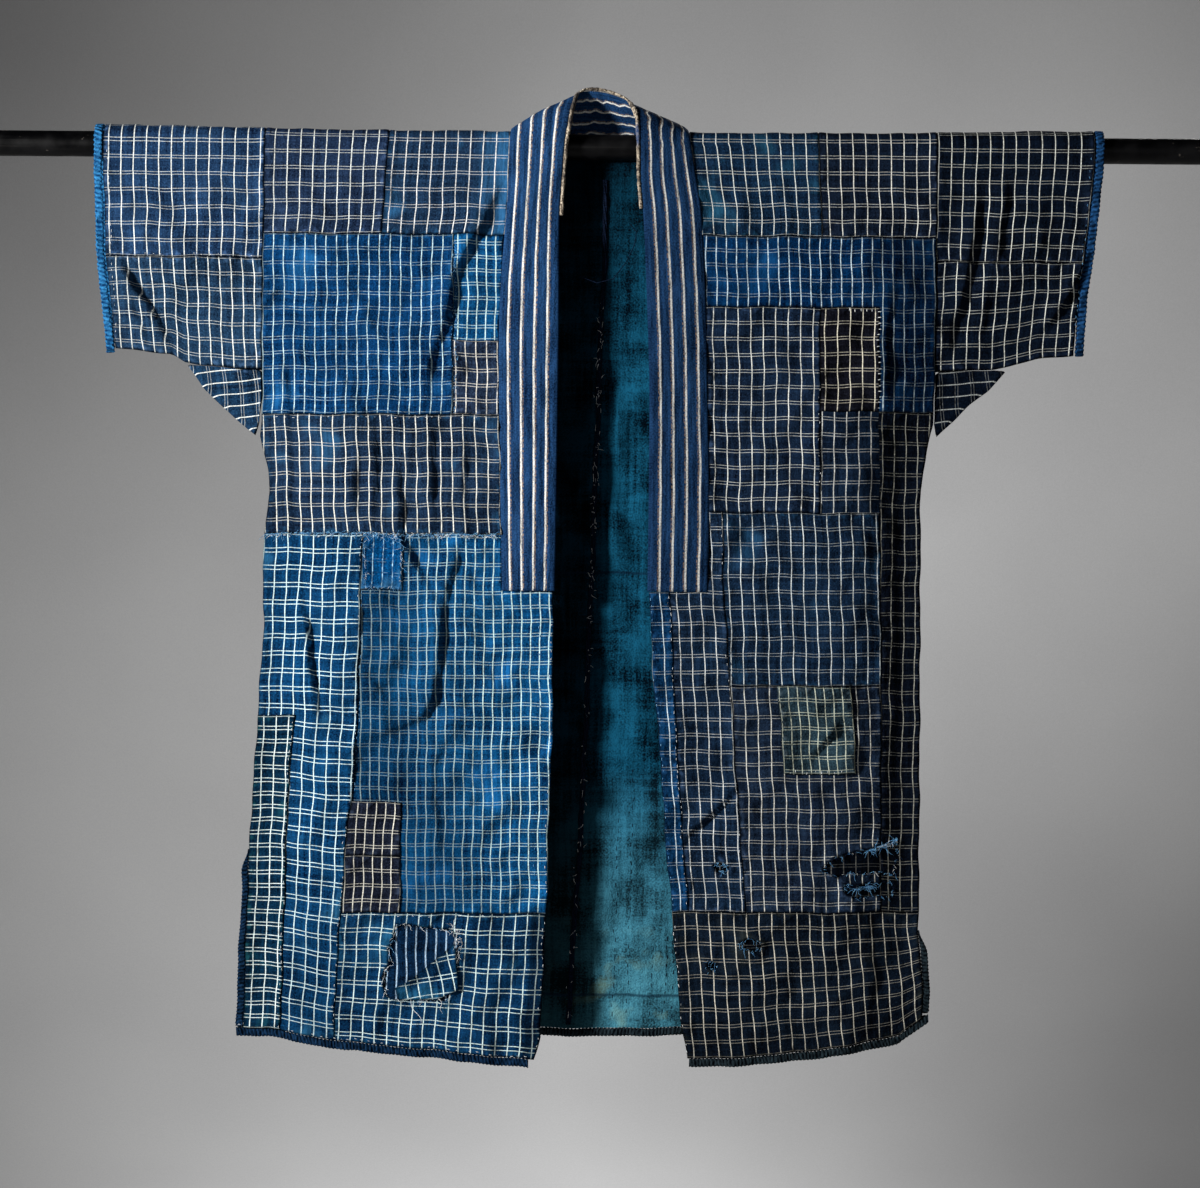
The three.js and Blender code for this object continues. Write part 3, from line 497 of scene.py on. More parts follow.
class Patch:
    """Cloth on the front or back between two side lines of [z, x] and a top and a bottom line of [x, z]."""

    def __init__(self, node, left, right, top, bottom, slot, material, side=FRONT, lift=0.0, step=3.2,
                 plain=False, cut_from=0.0):
        self.node = node
        self.slot = slot
        self.material = material
        self.left, self.right = as_line(left), as_line(right)
        self.top, self.bottom = as_line(top), as_line(bottom)
        self.side = side
        self.lift = lift
        self.step = step
        self.plain = plain
        self.holes = []
        self.torn = []
        self.under = []
        self.turned = 0.0 if plain else TURNED_EDGE
        self.cut_from = cut_from

    def at(self, u, v):
        z = np.full(np.shape(u), 0.5 * (along(self.top, 0) + along(self.bottom, 0)))
        for _ in range(4):
            x = along(self.left, z) * (1 - u) + along(self.right, z) * u
            z = along(self.top, x) * (1 - v) + along(self.bottom, x) * v
        return x, z

    def cover(self, x, z):
        """1 where this piece lies over the point, falling to 0 at its edges."""
        sides = np.minimum(x - along(self.left, z), along(self.right, z) - x)
        ends = np.minimum(along(self.top, x) - z, z - along(self.bottom, x))
        inside = np.minimum(sides, ends)
        for hole in self.holes + self.torn:
            inside = np.minimum(inside, -from_polygon(x, z, hole))
        return smooth((inside - 1.5) / 5)

    def cut_holes(self, x, z, outer, inner):
        middle_x = (x[:-1, :-1] + x[1:, 1:]) / 2
        middle_z = (z[:-1, :-1] + z[1:, 1:]) / 2
        keep = np.ones(middle_x.shape, bool)
        for hole in self.holes + self.torn:
            keep &= from_polygon(middle_x, middle_z, hole) < 0
            close = np.abs(from_polygon(x, z, hole)) < self.step * 0.55
            for r, c in zip(*np.nonzero(close)):
                px, pz = nearest_on(x[r, c], z[r, c], hole)
                outer[r, c, (0, 2)] += (px - x[r, c], pz - z[r, c])
                inner[r, c, (0, 2)] += (px - x[r, c], pz - z[r, c])
        return keep

    def build(self):
        width = float(np.ptp([self.at(0, 0.5)[0], self.at(1, 0.5)[0]]))
        height = float(np.ptp([self.at(0.5, 0)[1], self.at(0.5, 1)[1]]))
        us, vs = np.meshgrid(spaced(width, self.step), spaced(height, self.step))
        x, z = self.at(us, vs)
        side_edge = np.minimum(us, 1 - us) * width
        end_edge = np.minimum(vs, 1 - vs) * height
        edge = np.minimum(side_edge, end_edge)
        raised_by = 0 if self.side == BACK else pucker(x, z, side_edge, end_edge)
        for hole in self.holes + self.torn:
            to_hole = np.maximum(-from_polygon(x, z, hole), 0)
            edge = np.minimum(edge, to_hole)
            if hole in self.torn:
                uneven = 1 + 0.5 * np.sin(x / 3 + z / 4)
                raised_by = raised_by + TORN_LIFT * np.exp(-((to_hole / 3.5) ** 2)) * uneven
        base = depth(x, z, self.side) + raised_by
        pressed = np.zeros(x.shape)
        for other in self.under:
            pressed = np.maximum(pressed, other.cover(x, z))
        pressed = PRESSED * pressed * np.clip((base - LEAST_DEPTH) / 4, 0, 1)
        outer_out = self.lift + rounded_edge(edge) + turned_edge(edge, self.turned) - pressed
        outer = on_wall(x, z, self.side, outer_out, base)
        inner = on_wall(x, z, self.side, self.lift - pressed, base)
        keep = self.cut_holes(x, z, outer, inner) if self.holes or self.torn else None
        bent = crease_sum(x, z, self.side)
        if self.plain:
            cloth = np.stack([x, -z], -1)
        else:
            corners = [float(self.at(u, v)[0]) for u, v in ((0, 0), (1, 0), (0, 1), (1, 1))]
            middle = (corners[0] + corners[1]) / 2 * (1 - vs) + (corners[2] + corners[3]) / 2 * vs
            across = x - middle + self.cut_from + CREASE_PULL_X * bent
            cloth = np.stack([across, vs * height + CREASE_PULL_Z * bent], -1)
        edges = np.stack([np.minimum(side_edge, edge + 100 * (edge > end_edge - 0.001)), end_edge], -1)
        obj = closed_sheet("soft_" + self.node, outer, inner, cloth, edges, keep)
        finish_piece(obj, self.node, self.slot, self.material, *self.cut())

    def cut(self):
        """The flat cut: its width and length, and its area without the torn holes."""
        us, vs = np.meshgrid(np.linspace(0, 1, 90), np.linspace(0, 1, 90))
        x, z = self.at(us, vs)
        p = np.stack([x, z], -1)
        first, second = p[1:, 1:] - p[:-1, :-1], p[:-1, 1:] - p[1:, :-1]
        areas = np.abs(first[..., 0] * second[..., 1] - first[..., 1] * second[..., 0]) / 2
        middle_x, middle_z = (x[1:, 1:] + x[:-1, :-1]) / 2, (z[1:, 1:] + z[:-1, :-1]) / 2
        for hole in self.holes + self.torn:
            areas = areas * (from_polygon(middle_x, middle_z, hole) < 0)
        width = float(np.max(x[:, -1] - x[:, 0])) * MM
        length = float(np.max(z[0] - z[-1])) * MM
        return (width, length), float(areas.sum()) * MM * MM


# ---------------------------------------------------------------------------------------------------------
# Materials

LINE_SOFTNESS = 0.16  # how far a woven line's edge blurs, in millimetres
BRIGHTEST = 0.95
STRIPES = (6.6, 18.2, 29.8, 41.2)  # the collar's stripes, across the band
# Where painted shade darkens the backdrop paper towards corners of the view, and how dark it gets there
PAINTED_SHADE_CORNERS = (
    ((-1.9, ROOM_RADIUS, 1.3), 0.5), ((1.8, ROOM_RADIUS - 0.8, -1.8), 0.42), ((1.9, ROOM_RADIUS, 1.3), 0.78),
)


def linear(seen, light=1.0):
    """The linear colour that looks like the sRGB colour seen, 0 to 255, under that much light."""
    channels = []
    for value in seen:
        c = value / 255
        c = c / 12.92 if c <= 0.04045 else ((c + 0.055) / 1.055) ** 2.4
        channels.append(min(c / light, 0.93))
    return (*channels, 1.0)


def tinted(colour, red, green, blue):
    """The colour with its channels scaled, and all of them scaled back if one would be too bright."""
    channels = (colour[0] * red, colour[1] * green, colour[2] * blue)
    too_bright = max(1.0, max(channels) / BRIGHTEST)
    return (*(c / too_bright for c in channels), 1)


class Output:
    """What a material node gives. It is added, subtracted and multiplied like a number."""

    def __init__(self, graph, socket):
        self.graph = graph
        self.socket = socket

    def __add__(self, other):
        return self.graph.math("ADD", self, other)

    def __sub__(self, other):
        return self.graph.math("SUBTRACT", self, other)

    def __rsub__(self, other):
        return self.graph.math("SUBTRACT", other, self)

    def __mul__(self, other):
        return self.graph.math("MULTIPLY", self, other)

    def __abs__(self):
        return self.graph.math("ABSOLUTE", self)


class Graph:
    """One material's nodes. Most methods add a node and return its output, from outputs or numbers."""

    def __init__(self, name, roughness=0.95, sheen=0.0, specular=0.03):
        self.material = bpy.data.materials.new(name)
        self.material.use_nodes = True
        self.tree = self.material.node_tree
        self.tree.nodes.clear()
        self.shader = self.tree.nodes.new("ShaderNodeBsdfPrincipled")
        self.shader.inputs["Roughness"].default_value = roughness
        self.shader.inputs["Sheen Weight"].default_value = sheen
        self.shader.inputs["Sheen Roughness"].default_value = 0.6
        self.shader.inputs["Specular IOR Level"].default_value = specular
        result = self.tree.nodes.new("ShaderNodeOutputMaterial")
        self.tree.links.new(self.shader.outputs[0], result.inputs[0])

    def put(self, socket, value):
        if isinstance(value, Output):
            self.tree.links.new(value.socket, socket)
        else:
            socket.default_value = value

    def node(self, kind, inputs, output=0, **settings):
        node = self.tree.nodes.new("ShaderNode" + kind)
        for name, value in settings.items():
            setattr(node, name, value)
        for key, value in inputs.items():
            self.put(node.inputs[key], value)
        return Output(self, node.outputs[output])

    def uv(self, layer):
        return self.node("UVMap", {}, uv_map=layer)

    def position(self):
        return self.node("TexCoord", {}, "Object")

    def math(self, operation, a, b=0.0, clamp=False):
        return self.node("Math", {0: a, 1: b}, operation=operation, use_clamp=clamp)

    def vector(self, operation, a, b):
        return self.node("VectorMath", {0: a, 1: b}, operation=operation)

    def length(self, vector):
        return self.node("VectorMath", {0: vector}, "Value", operation="LENGTH")

    def split(self, vector):
        node = self.tree.nodes.new("ShaderNodeSeparateXYZ")
        self.put(node.inputs[0], vector)
        return Output(self, node.outputs[0]), Output(self, node.outputs[1])

    def noise(self, place, scale, detail=1.0, output=0):
        inputs = {"Vector": place, "Scale": scale, "Detail": detail}
        return self.node("TexNoise", inputs, output, noise_dimensions="3D")

    def stretched(self, place, x, y, detail=1.0):
        return self.noise(self.vector("MULTIPLY", place, (x, y, 1)), 1.0, detail)

    def swayed(self, place, flat, scale, reach):
        """The place moved to and fro by a noise over the cloth."""
        sway = self.vector("SUBTRACT", self.noise(flat, scale, 1, 1), (0.5, 0.5, 0.5))
        return self.vector("ADD", place, self.vector("MULTIPLY", sway, reach))

    def slope(self, place, across, down, low, high, strength):
        """Grows from 0 to strength along a direction over the cloth."""
        u, v = self.split(place)
        return self.ramp(u * across + v * down, low, high, 0.0, strength)

    def ramp(self, value, low, high, start=0.0, end=1.0):
        return self.node("MapRange", dict(enumerate((value, low, high, start, end))))

    def mix(self, share, a, b, blend="MIX"):
        return self.node("Mix", {0: share, 6: a, 7: b}, 2, data_type="RGBA", blend_type=blend)

    def darkened(self, colour, by):
        return self.mix(1.0, colour, by, "MULTIPLY")

    def finish(self, colour, height, strength, distance):
        """Gives the shader its colour and its bumps, and returns the material."""
        self.put(self.shader.inputs["Base Color"], colour)
        bump = self.node("Bump", {"Strength": strength, "Distance": distance, "Height": height})
        self.put(self.shader.inputs["Normal"], bump)
        return self.material


def woven(name, warp, weft, dark, mid, line, light, gap=2.7, thick=0.92, thin=0.5, broken=0.3, pale=0.75,
          fade=None, faded=0.0, turned=False, shift=0.0, deep=None, bright=None, faint=None, warm=0.0):
    """Striped or checked cotton. warp and weft are the pitches of its lines, and gap parts the paired ones.

    thick and thin are the lines' widths, broken says how far they are worn away, and pale how light the weft
    lines are. fade is the colour of the bleached places and faded how many there are. deep and bright are
    gradients (across, down, from, to, strength): deep darkens the whole cloth, partly as darker dye and
    partly as painted shade where less light falls, and bright bleaches its ground. faint wears its lines
    away. warm turns the blue of the ground towards brown.
    """
    g = Graph(name)
    flat = g.uv("cloth")
    if turned:
        u, v = g.split(flat)
        flat = g.node("CombineXYZ", {0: v, 1: u})
    place = g.swayed(flat, flat, 14, (0.0027, 0.0032, 0))
    u, v = g.split(g.swayed(place, flat, 95, (0.0005, 0.0006, 0)))
    yarn = g.noise(flat, 620, 1.5)

    def line_mask(distance, width, grain, worn):
        inner = max(width / 2 - LINE_SOFTNESS, 0.05)
        mask = g.ramp(distance, (width / 2 + LINE_SOFTNESS) * MM, inner * MM)
        return mask * g.ramp(grain, 0.30 + 0.22 * worn, 0.40 + 0.25 * worn, 1 - worn, 1.0)

    to_warp = g.math("PINGPONG", u + shift * MM, warp / 2 * MM)
    to_weft = abs(g.math("PINGPONG", v + shift * MM, weft / 2 * MM) - gap / 2 * MM)
    warp_lines = line_mask(to_warp, thick, g.stretched(flat, 900, 190), broken)
    weft_lines = line_mask(to_weft, thin, g.stretched(flat, 150, 900), min(broken + 0.15, 1)) * pale
    lines = g.math("MAXIMUM", warp_lines, weft_lines)
    if faint:
        lines = lines * (1.0 - g.slope(flat, *faint))

    streaks = g.stretched(flat, 330, 11)
    tone = g.noise(flat, 13, 2) + streaks + g.stretched(flat, 9, 300) * 0.7 + yarn * 1.3
    low = tinted(linear(dark, light), 0.10 + 0.10 * warm, 0.18 - 0.02 * warm, 0.24 - 0.04 * warm)
    high = tinted(linear(mid, light), 0.28 + 0.34 * warm, 0.64 - 0.05 * warm, 0.74 - 0.04 * warm)
    lit = tinted(linear(mid, light), 0.8 + 0.4 * warm, 1.4 - 0.1 * warm, 1.45 - 0.1 * warm)
    ground = g.mix(g.ramp(tone, 1.55, 2.45), low, high)
    ground = g.mix(g.ramp(yarn, 0.62, 0.80, 0, 0.5), ground, lit)
    if faded:
        bleached = g.ramp(g.noise(flat, 16, 2), 0.62 - 0.3 * faded, 0.78 - 0.2 * faded)
        if bright:
            bleached = g.math("ADD", bleached, g.slope(flat, *bright), clamp=True)
        ground = g.mix(bleached * g.ramp(streaks, 0.3, 0.6, 0.35, 0.9), ground, linear(fade, light))
    pale_line = tinted(linear(line, light), 1.22, 1.22, 1.2)
    dull_line = tinted(pale_line, 0.64, 0.64, 0.64)
    colour = g.mix(lines, ground, g.mix(g.ramp(yarn, 0.34, 0.58), dull_line, pale_line))

    to_edge = g.math("MINIMUM", *g.split(g.uv("edge")))
    rub = g.ramp(to_edge, 0.0065, 0.001) * g.ramp(g.noise(flat, 130, 1), 0.5, 0.75, 0, 0.5)
    colour = g.mix(rub, colour, linear(fade or [min(c * 1.7, 255) for c in mid], light))
    # painted shade: darker along each piece's edges, where the seams and the gaps between pieces lie in
    # shadow
    shade = g.ramp(to_edge, 0.0, 0.0026, 0.14, 1.0)
    if deep:
        shade = shade * (1.0 - g.slope(flat, *deep))
    puckers = g.ramp(to_edge, 0.016, 0.002) * g.stretched(flat, 120, 120)
    height = yarn * 0.8 + puckers * 3.0 + g.noise(flat, 75, 2) * 3.2
    return g.finish(g.darkened(colour, shade), height, 0.75, 0.0011)


CREAM = (238, 243, 240)
WARM = (214, 208, 192)
BLEACHED = (52, 116, 168)
FINE = dict(thick=0.8, thin=0.43)
# Each cloth's warp, weft, dark, mid, line and light, and what else woven() needs to know
CLOTHS = {
    "sleeve_upper_right": (12.2, 16.0, (30, 52, 88), (62, 88, 124), CREAM, 1.0,
        dict(broken=0.1, pale=0.6, warm=0.4)),
    "sleeve_lower_right": (11.0, 15.4, (28, 48, 76), (60, 85, 114), CREAM, 1.0,
        dict(broken=0.25, pale=0.55, warm=0.35)),
    "gusset_right": (11.7, 15.4, (26, 46, 74), (58, 83, 114), CREAM, 1.0,
        dict(broken=0.15, pale=0.4, turned=True, warm=0.2)),
    "shoulder_outer_right": (12.5, 15.9, (27, 44, 72), (58, 76, 106), CREAM, 0.97,
        dict(broken=0.1, pale=0.62, warm=0.6)),
    "shoulder_inner_right": (12.5, 15.9, (27, 48, 76), (57, 78, 108), CREAM, 0.93,
        dict(broken=0.12, pale=0.6, fade=BLEACHED, faded=0.08, shift=4, bright=(1, 0, 0.024, 0.054, 0.6),
             warm=0.35)),
    "chest_right": (10.2, 14.4, (8, 48, 92), (28, 82, 134), (200, 232, 248), 0.95,
        dict(broken=0.45, pale=0.5, thick=0.92, fade=(40, 120, 186), faded=0.1)),
    "breast_right": (10.1, 14.5, (29, 42, 66), (62, 78, 102), (226, 222, 214), 0.9,
        dict(broken=0.1, pale=0.75, warm=0.7)),
    "waist_right": (11.4, 14.5, (21, 36, 60), (50, 70, 98), (236, 236, 228), 0.95,
        dict(broken=0.15, pale=0.5, fade=(44, 100, 144), faded=0.12, warm=0.4)),
    "side_right": (12.1, 16.7, (6, 40, 78), (34, 88, 134), (216, 242, 255), 1.0,
        dict(broken=0.1, pale=0.95, gap=3.9, thin=0.71, thick=0.97, fade=(60, 128, 170), faded=0.08,
             deep=(0, 1, 0.28, 0.47, 0.3))),
    "strip_right": (12.1, 12.6, (4, 24, 44), (26, 62, 90), (225, 240, 240), 1.0,
        dict(broken=0.2, pale=0.9, gap=3.4, thin=0.67, thick=0.92, fade=(40, 110, 120), faded=0.12)),
    "dense_right": (9.05, 13.5, (8, 60, 112), (34, 106, 158), (204, 236, 252), 0.92,
        dict(broken=0.08, pale=0.62, thick=1.0, thin=0.6, fade=(30, 116, 188), faded=0.12,
             deep=(-1, 0.15, 0.16, 0.28, 0.45), faint=(-1, 0.25, 0.24, 0.32, 0.4))),
    "worn_right": (9.8, 13.0, (8, 66, 116), (18, 104, 164), (170, 212, 236), 0.95,
        dict(broken=0.85, pale=0.4, fade=(90, 160, 205), faded=0.4)),
    "hip_right": (8.9, 14.6, (20, 28, 42), (42, 52, 68), (206, 204, 194), 0.92,
        dict(broken=0.15, pale=0.7, thick=0.88, warm=1.0)),
    "hem_right": (11.6, 17.7, (8, 42, 76), (34, 76, 116), (216, 238, 250), 0.92,
        dict(broken=0.15, pale=0.9, gap=4.0, thin=0.67, thick=0.94, fade=(40, 104, 140), faded=0.12,
             deep=(1, 0, 0.0835, 0.0865, 0.66))),
    "back": (12.2, 15.6, (24, 40, 68), (52, 74, 106), CREAM, 0.9,
        dict(broken=0.2, pale=0.6, fade=(38, 74, 110), faded=0.12, warm=0.4)),
    "shoulder_inner_left": (12.4, 15.4, (17, 34, 56), (42, 66, 94), CREAM, 0.99,
        dict(FINE, broken=0.15, pale=0.6, fade=(40, 96, 126), faded=0.3, warm=0.3)),
    "shoulder_outer_left": (12.4, 15.4, (13, 20, 32), (33, 44, 62), (220, 220, 214), 0.89,
        dict(FINE, broken=0.1, pale=0.62, warm=0.6)),
    "chest_left": (10.0, 14.1, (4, 34, 72), (16, 64, 110), (200, 222, 234), 1,
        dict(broken=0.4, pale=0.4, thick=0.92, fade=(22, 84, 138), faded=0.15, deep=(1, 0, 0.03, 0.08, 0.6))),
    "breast_left": (12.0, 15.4, (18, 30, 48), (42, 58, 82), (222, 224, 220), 0.97,
        dict(FINE, broken=0.1, pale=0.62, warm=0.5)),
    "brown_left": (12.0, 15.0, (10, 12, 18), (29, 32, 41), WARM, 0.89,
        dict(FINE, broken=0.1, pale=0.62, warm=1.0)),
    "waist_left": (12.0, 15.2, (18, 31, 48), (40, 60, 86), (212, 220, 222), 0.93,
        dict(FINE, broken=0.3, pale=0.45, fade=(40, 90, 130), faded=0.1, warm=0.4)),
    # side_left's dark colours are partly painted shade, where the side turns away from the key light
    "side_left": (11.5, 15.0, (8, 12, 19), (18, 26, 39), (150, 150, 142), 0.99,
        dict(FINE, broken=0.3, pale=0.6, warm=0.6)),
    "overlap_left": (11.7, 15.4, (20, 34, 52), (43, 61, 86), (210, 214, 214), 0.99,
        dict(FINE, broken=0.15, pale=0.65, warm=0.4)),
    "edge_strip_left": (12.0, 15.4, (12, 44, 78), (34, 76, 118), (200, 216, 224), 0.99,
        dict(FINE, broken=0.35, pale=0.5)),
    "hip_left": (12.0, 15.0, (22, 34, 52), (44, 58, 78), (206, 206, 200), 0.93,
        dict(FINE, broken=0.2, pale=0.52, warm=0.6)),
    "olive_left": (8.6, 13.6, (40, 50, 60), (78, 90, 98), (192, 198, 182), 0.95,
        dict(broken=0.15, pale=0.8, thick=0.8, warm=0.3)),
    "hem_left": (12.0, 14.8, (13, 18, 27), (29, 38, 52), (196, 192, 180), 0.87,
        dict(FINE, broken=0.15, pale=0.45, fade=(48, 52, 44), faded=0.08, warm=0.4,
             deep=(0, 1, 0.095, 0.135, 0.45))),
    "sleeve_left": (12.5, 15.4, (8, 13, 21), (23, 32, 48), (206, 208, 202), 0.82,
        dict(FINE, broken=0.15, pale=0.5, warm=0.5)),
    "gusset_left": (11.7, 15.4, (8, 13, 21), (20, 29, 44), (160, 164, 164), 0.9,
        dict(broken=0.3, pale=0.4, turned=True, warm=0.5)),
    # under_left's deep gradient is painted shade: darker below z -665, where this cloth shows only through
    # the torn holes
    "under_left": (12.0, 15.4, (16, 27, 44), (38, 54, 77), (200, 202, 200), 1.0,
        dict(broken=0.1, pale=0.62, deep=(0, 1, 0.640, 0.665, 0.82), warm=0.5)),
    "torn_under": (9.5, 40, (8, 20, 38), (28, 52, 84), (150, 176, 200), 0.85,
        dict(broken=0.5, pale=0.0, thick=1.4)),
}


def striped_collar():
    """Blue cotton with four cream stripes down the band, each with a speckled shadow on its inner side."""
    g = Graph("cloth_collar")
    flat = g.uv("cloth")
    u, v = g.split(g.swayed(flat, flat, 26, (0.0016, 0, 0)))
    behind_neck = g.ramp(abs(v - NECK_BACK * MM), 0.10, 0.05)
    u = u + (g.stretched(flat, 25, 75) - 0.5) * behind_neck * 0.011
    yarn = g.noise(flat, 640, 1.5)
    speck = g.ramp(g.stretched(flat, 700, 420), 0.40, 0.60, 0.0, 0.75)
    grain = g.ramp(yarn, 0.3, 0.55, 0.55, 1.0)
    tone = g.stretched(flat, 420, 14) + yarn * 1.2 + g.noise(flat, 20, 2) * 0.8
    colour = g.mix(g.ramp(tone, 1.1, 1.9), linear((5, 22, 48), 0.88), linear((38, 76, 122), 0.88))
    for stripe in STRIPES:
        shadow = g.ramp(abs(u - (stripe + 1.5) * MM), 0.0010, 0.0006) * speck
        colour = g.mix(shadow, colour, linear((158, 134, 112), 0.9))
        core = g.ramp(abs(u - stripe * MM), 0.0011, 0.0006)
        colour = g.mix(core * grain, colour, (0.93, 0.93, 0.88, 1))
    past_neck = g.ramp(v, 0.50, 0.60, 1.0, 0.56)
    height = yarn + g.stretched(flat, 140, 30) * 3.0 + g.noise(flat, 60, 2) * 3.0
    return g.finish(g.darkened(colour, past_neck), height, 0.8, 0.0012)


def faded_lining():
    """Teal indigo cotton, bleached towards the hem, with two seams across it. Painted shade darkens it under
    the rod at its top, and a painted shadow of the right front darkens its right half.
    """
    g = Graph("cloth_lining")
    flat = g.uv("cloth")
    u, v = g.split(flat)
    yarn = g.noise(flat, 560, 2)
    threads = g.stretched(flat, 260, 10, 2) * 0.8 + g.stretched(flat, 14, 210, 2) * 0.5
    tone = threads + (g.noise(flat, 24, 3) * 1.9 + yarn * 1.2)
    colour = g.mix(g.ramp(tone, 1.85, 2.5), linear((0, 10, 20), 0.9), linear((16, 78, 106), 0.9))
    bleach = g.ramp(v, 0.60, 0.80) * g.ramp(tone, 1.8, 2.6, 0.1, 1.0)
    colour = g.mix(bleach, colour, linear((70, 132, 150), 0.9))
    spot = g.ramp(v, 0.74, 0.80) * g.ramp(g.noise(flat, 30, 2), 0.55, 0.7, 0, 0.45)
    colour = g.mix(spot, colour, linear((112, 140, 122), 0.9))
    # painted shade under the rod: darker towards the top
    colour = g.darkened(colour, g.ramp(v, 0.02, 0.16, 0.35, 1.0))
    # painted shadow of the right front: darker over the lining's right half
    colour = g.darkened(colour, g.ramp(u + v * 0.012, -0.008, 0.030, 0.28, 1.0))
    colour = g.mix(g.ramp(v, 0.8555, 0.8575), colour, linear((10, 22, 44), 0.9))
    crossing = g.math("MINIMUM", abs(v - 0.412), abs(v - 0.823))
    colour = g.mix(g.ramp(crossing, 0.0022, 0.0006, 0, 0.7), colour, linear((8, 30, 48), 0.9))
    return g.finish(colour, yarn + g.noise(flat, 60, 2) * 4.0, 0.8, 0.0012)


def thread_work(name, dark, pale, light, pitch=3.6):
    """A roll of overcast stitches: each turn of thread is lighter on its crown."""
    g = Graph(name)
    flat = g.uv("cloth")
    u, v = g.split(flat)
    turn = g.math("PINGPONG", v + u * 0.35 + g.noise(flat, 75, 1) * 0.006, pitch / 2 * MM)
    fibre = g.noise(flat, 520, 2)
    lumps = g.noise(flat, 190, 2)
    tone = g.ramp(turn, 0, pitch / 2 * MM, 0, 0.4) + fibre * 0.8 + (g.noise(flat, 45, 2) * 0.5 + lumps * 0.9)
    colour = g.mix(g.ramp(tone, 1.05, 1.62), linear(dark, light), linear(pale, light))
    return g.finish(colour, turn * 260 + (fibre + lumps * 2.5), 0.9, 0.0016)


def worn_cord():
    """The collar's bare inner edge: ivory fibres with brown dirt and a little blue left."""
    g = Graph("cloth_cord", sheen=0.1)
    place = g.position()
    fibre = g.noise(place, 480, 2)
    colour = g.mix(g.ramp(fibre, 0.35, 0.62), linear((74, 62, 54), 0.9), linear((204, 190, 168), 0.95))
    colour = g.mix(g.ramp(g.noise(place, 70, 3), 0.46, 0.62, 0, 0.9), colour, linear((46, 40, 38), 0.9))
    colour = g.mix(g.ramp(g.noise(place, 38, 2), 0.56, 0.68, 0, 0.7), colour, linear((32, 66, 110), 0.9))
    return g.finish(colour, fibre + g.noise(place, 150, 2) * 2.5, 0.9, 0.0016)


def plain_thread(name, dark, pale):
    g = Graph(name, 0.9)
    fibre = g.noise(g.position(), 900, 1)
    colour = g.mix(g.ramp(fibre, 0.35, 0.65), linear(dark, 0.9), linear(pale, 0.9))
    return g.finish(colour, fibre, 0.3, 0.0003)


def painted_rod():
    """Black paint on a turned rod, with dusty and chipped places and fine scratches along it."""
    g = Graph("rod_paint", 0.42, specular=0.16)
    place = g.position()
    dust = g.noise(place, 55, 4)
    scratch = g.noise(g.vector("MULTIPLY", place, (6, 420, 420)), 1.0, 3)
    chips = g.ramp(g.noise(place, 130, 3), 0.70, 0.73)
    colour = g.mix(g.ramp(dust, 0.45, 0.7), linear((2, 2, 3)), linear((8, 8, 10)))
    colour = g.mix(g.ramp(scratch, 0.62, 0.74, 0, 0.4), colour, linear((40, 39, 38)))
    colour = g.mix(chips, colour, linear((60, 56, 52)))
    g.put(g.shader.inputs["Roughness"], g.ramp(dust, 0.3, 0.75, 0.3, 0.62))
    return g.finish(colour, dust + chips * -0.8, 0.35, 0.0006)


def studio_paper():
    """Grey paper with painted shade that darkens it towards three corners of the view."""
    g = Graph("backdrop_paper", 0.9)
    place = g.position()
    fine = g.noise(place, 260, 2)
    tone = fine * 0.35 + g.noise(place, 1.2, 2) * 0.65
    colour = g.mix(g.ramp(tone, 0.3, 0.7), (0.27, 0.27, 0.272, 1), (0.33, 0.33, 0.33, 1))
    for corner, least in PAINTED_SHADE_CORNERS:
        away = g.length(g.vector("SUBTRACT", place, corner))
        colour = g.darkened(colour, g.ramp(away, 0.1, 1.9, least, 1.0))
    return g.finish(colour, fine, 0.15, 0.002)


# ---------------------------------------------------------------------------------------------------------
# Cloth over the rod, sleeves, bindings and collar

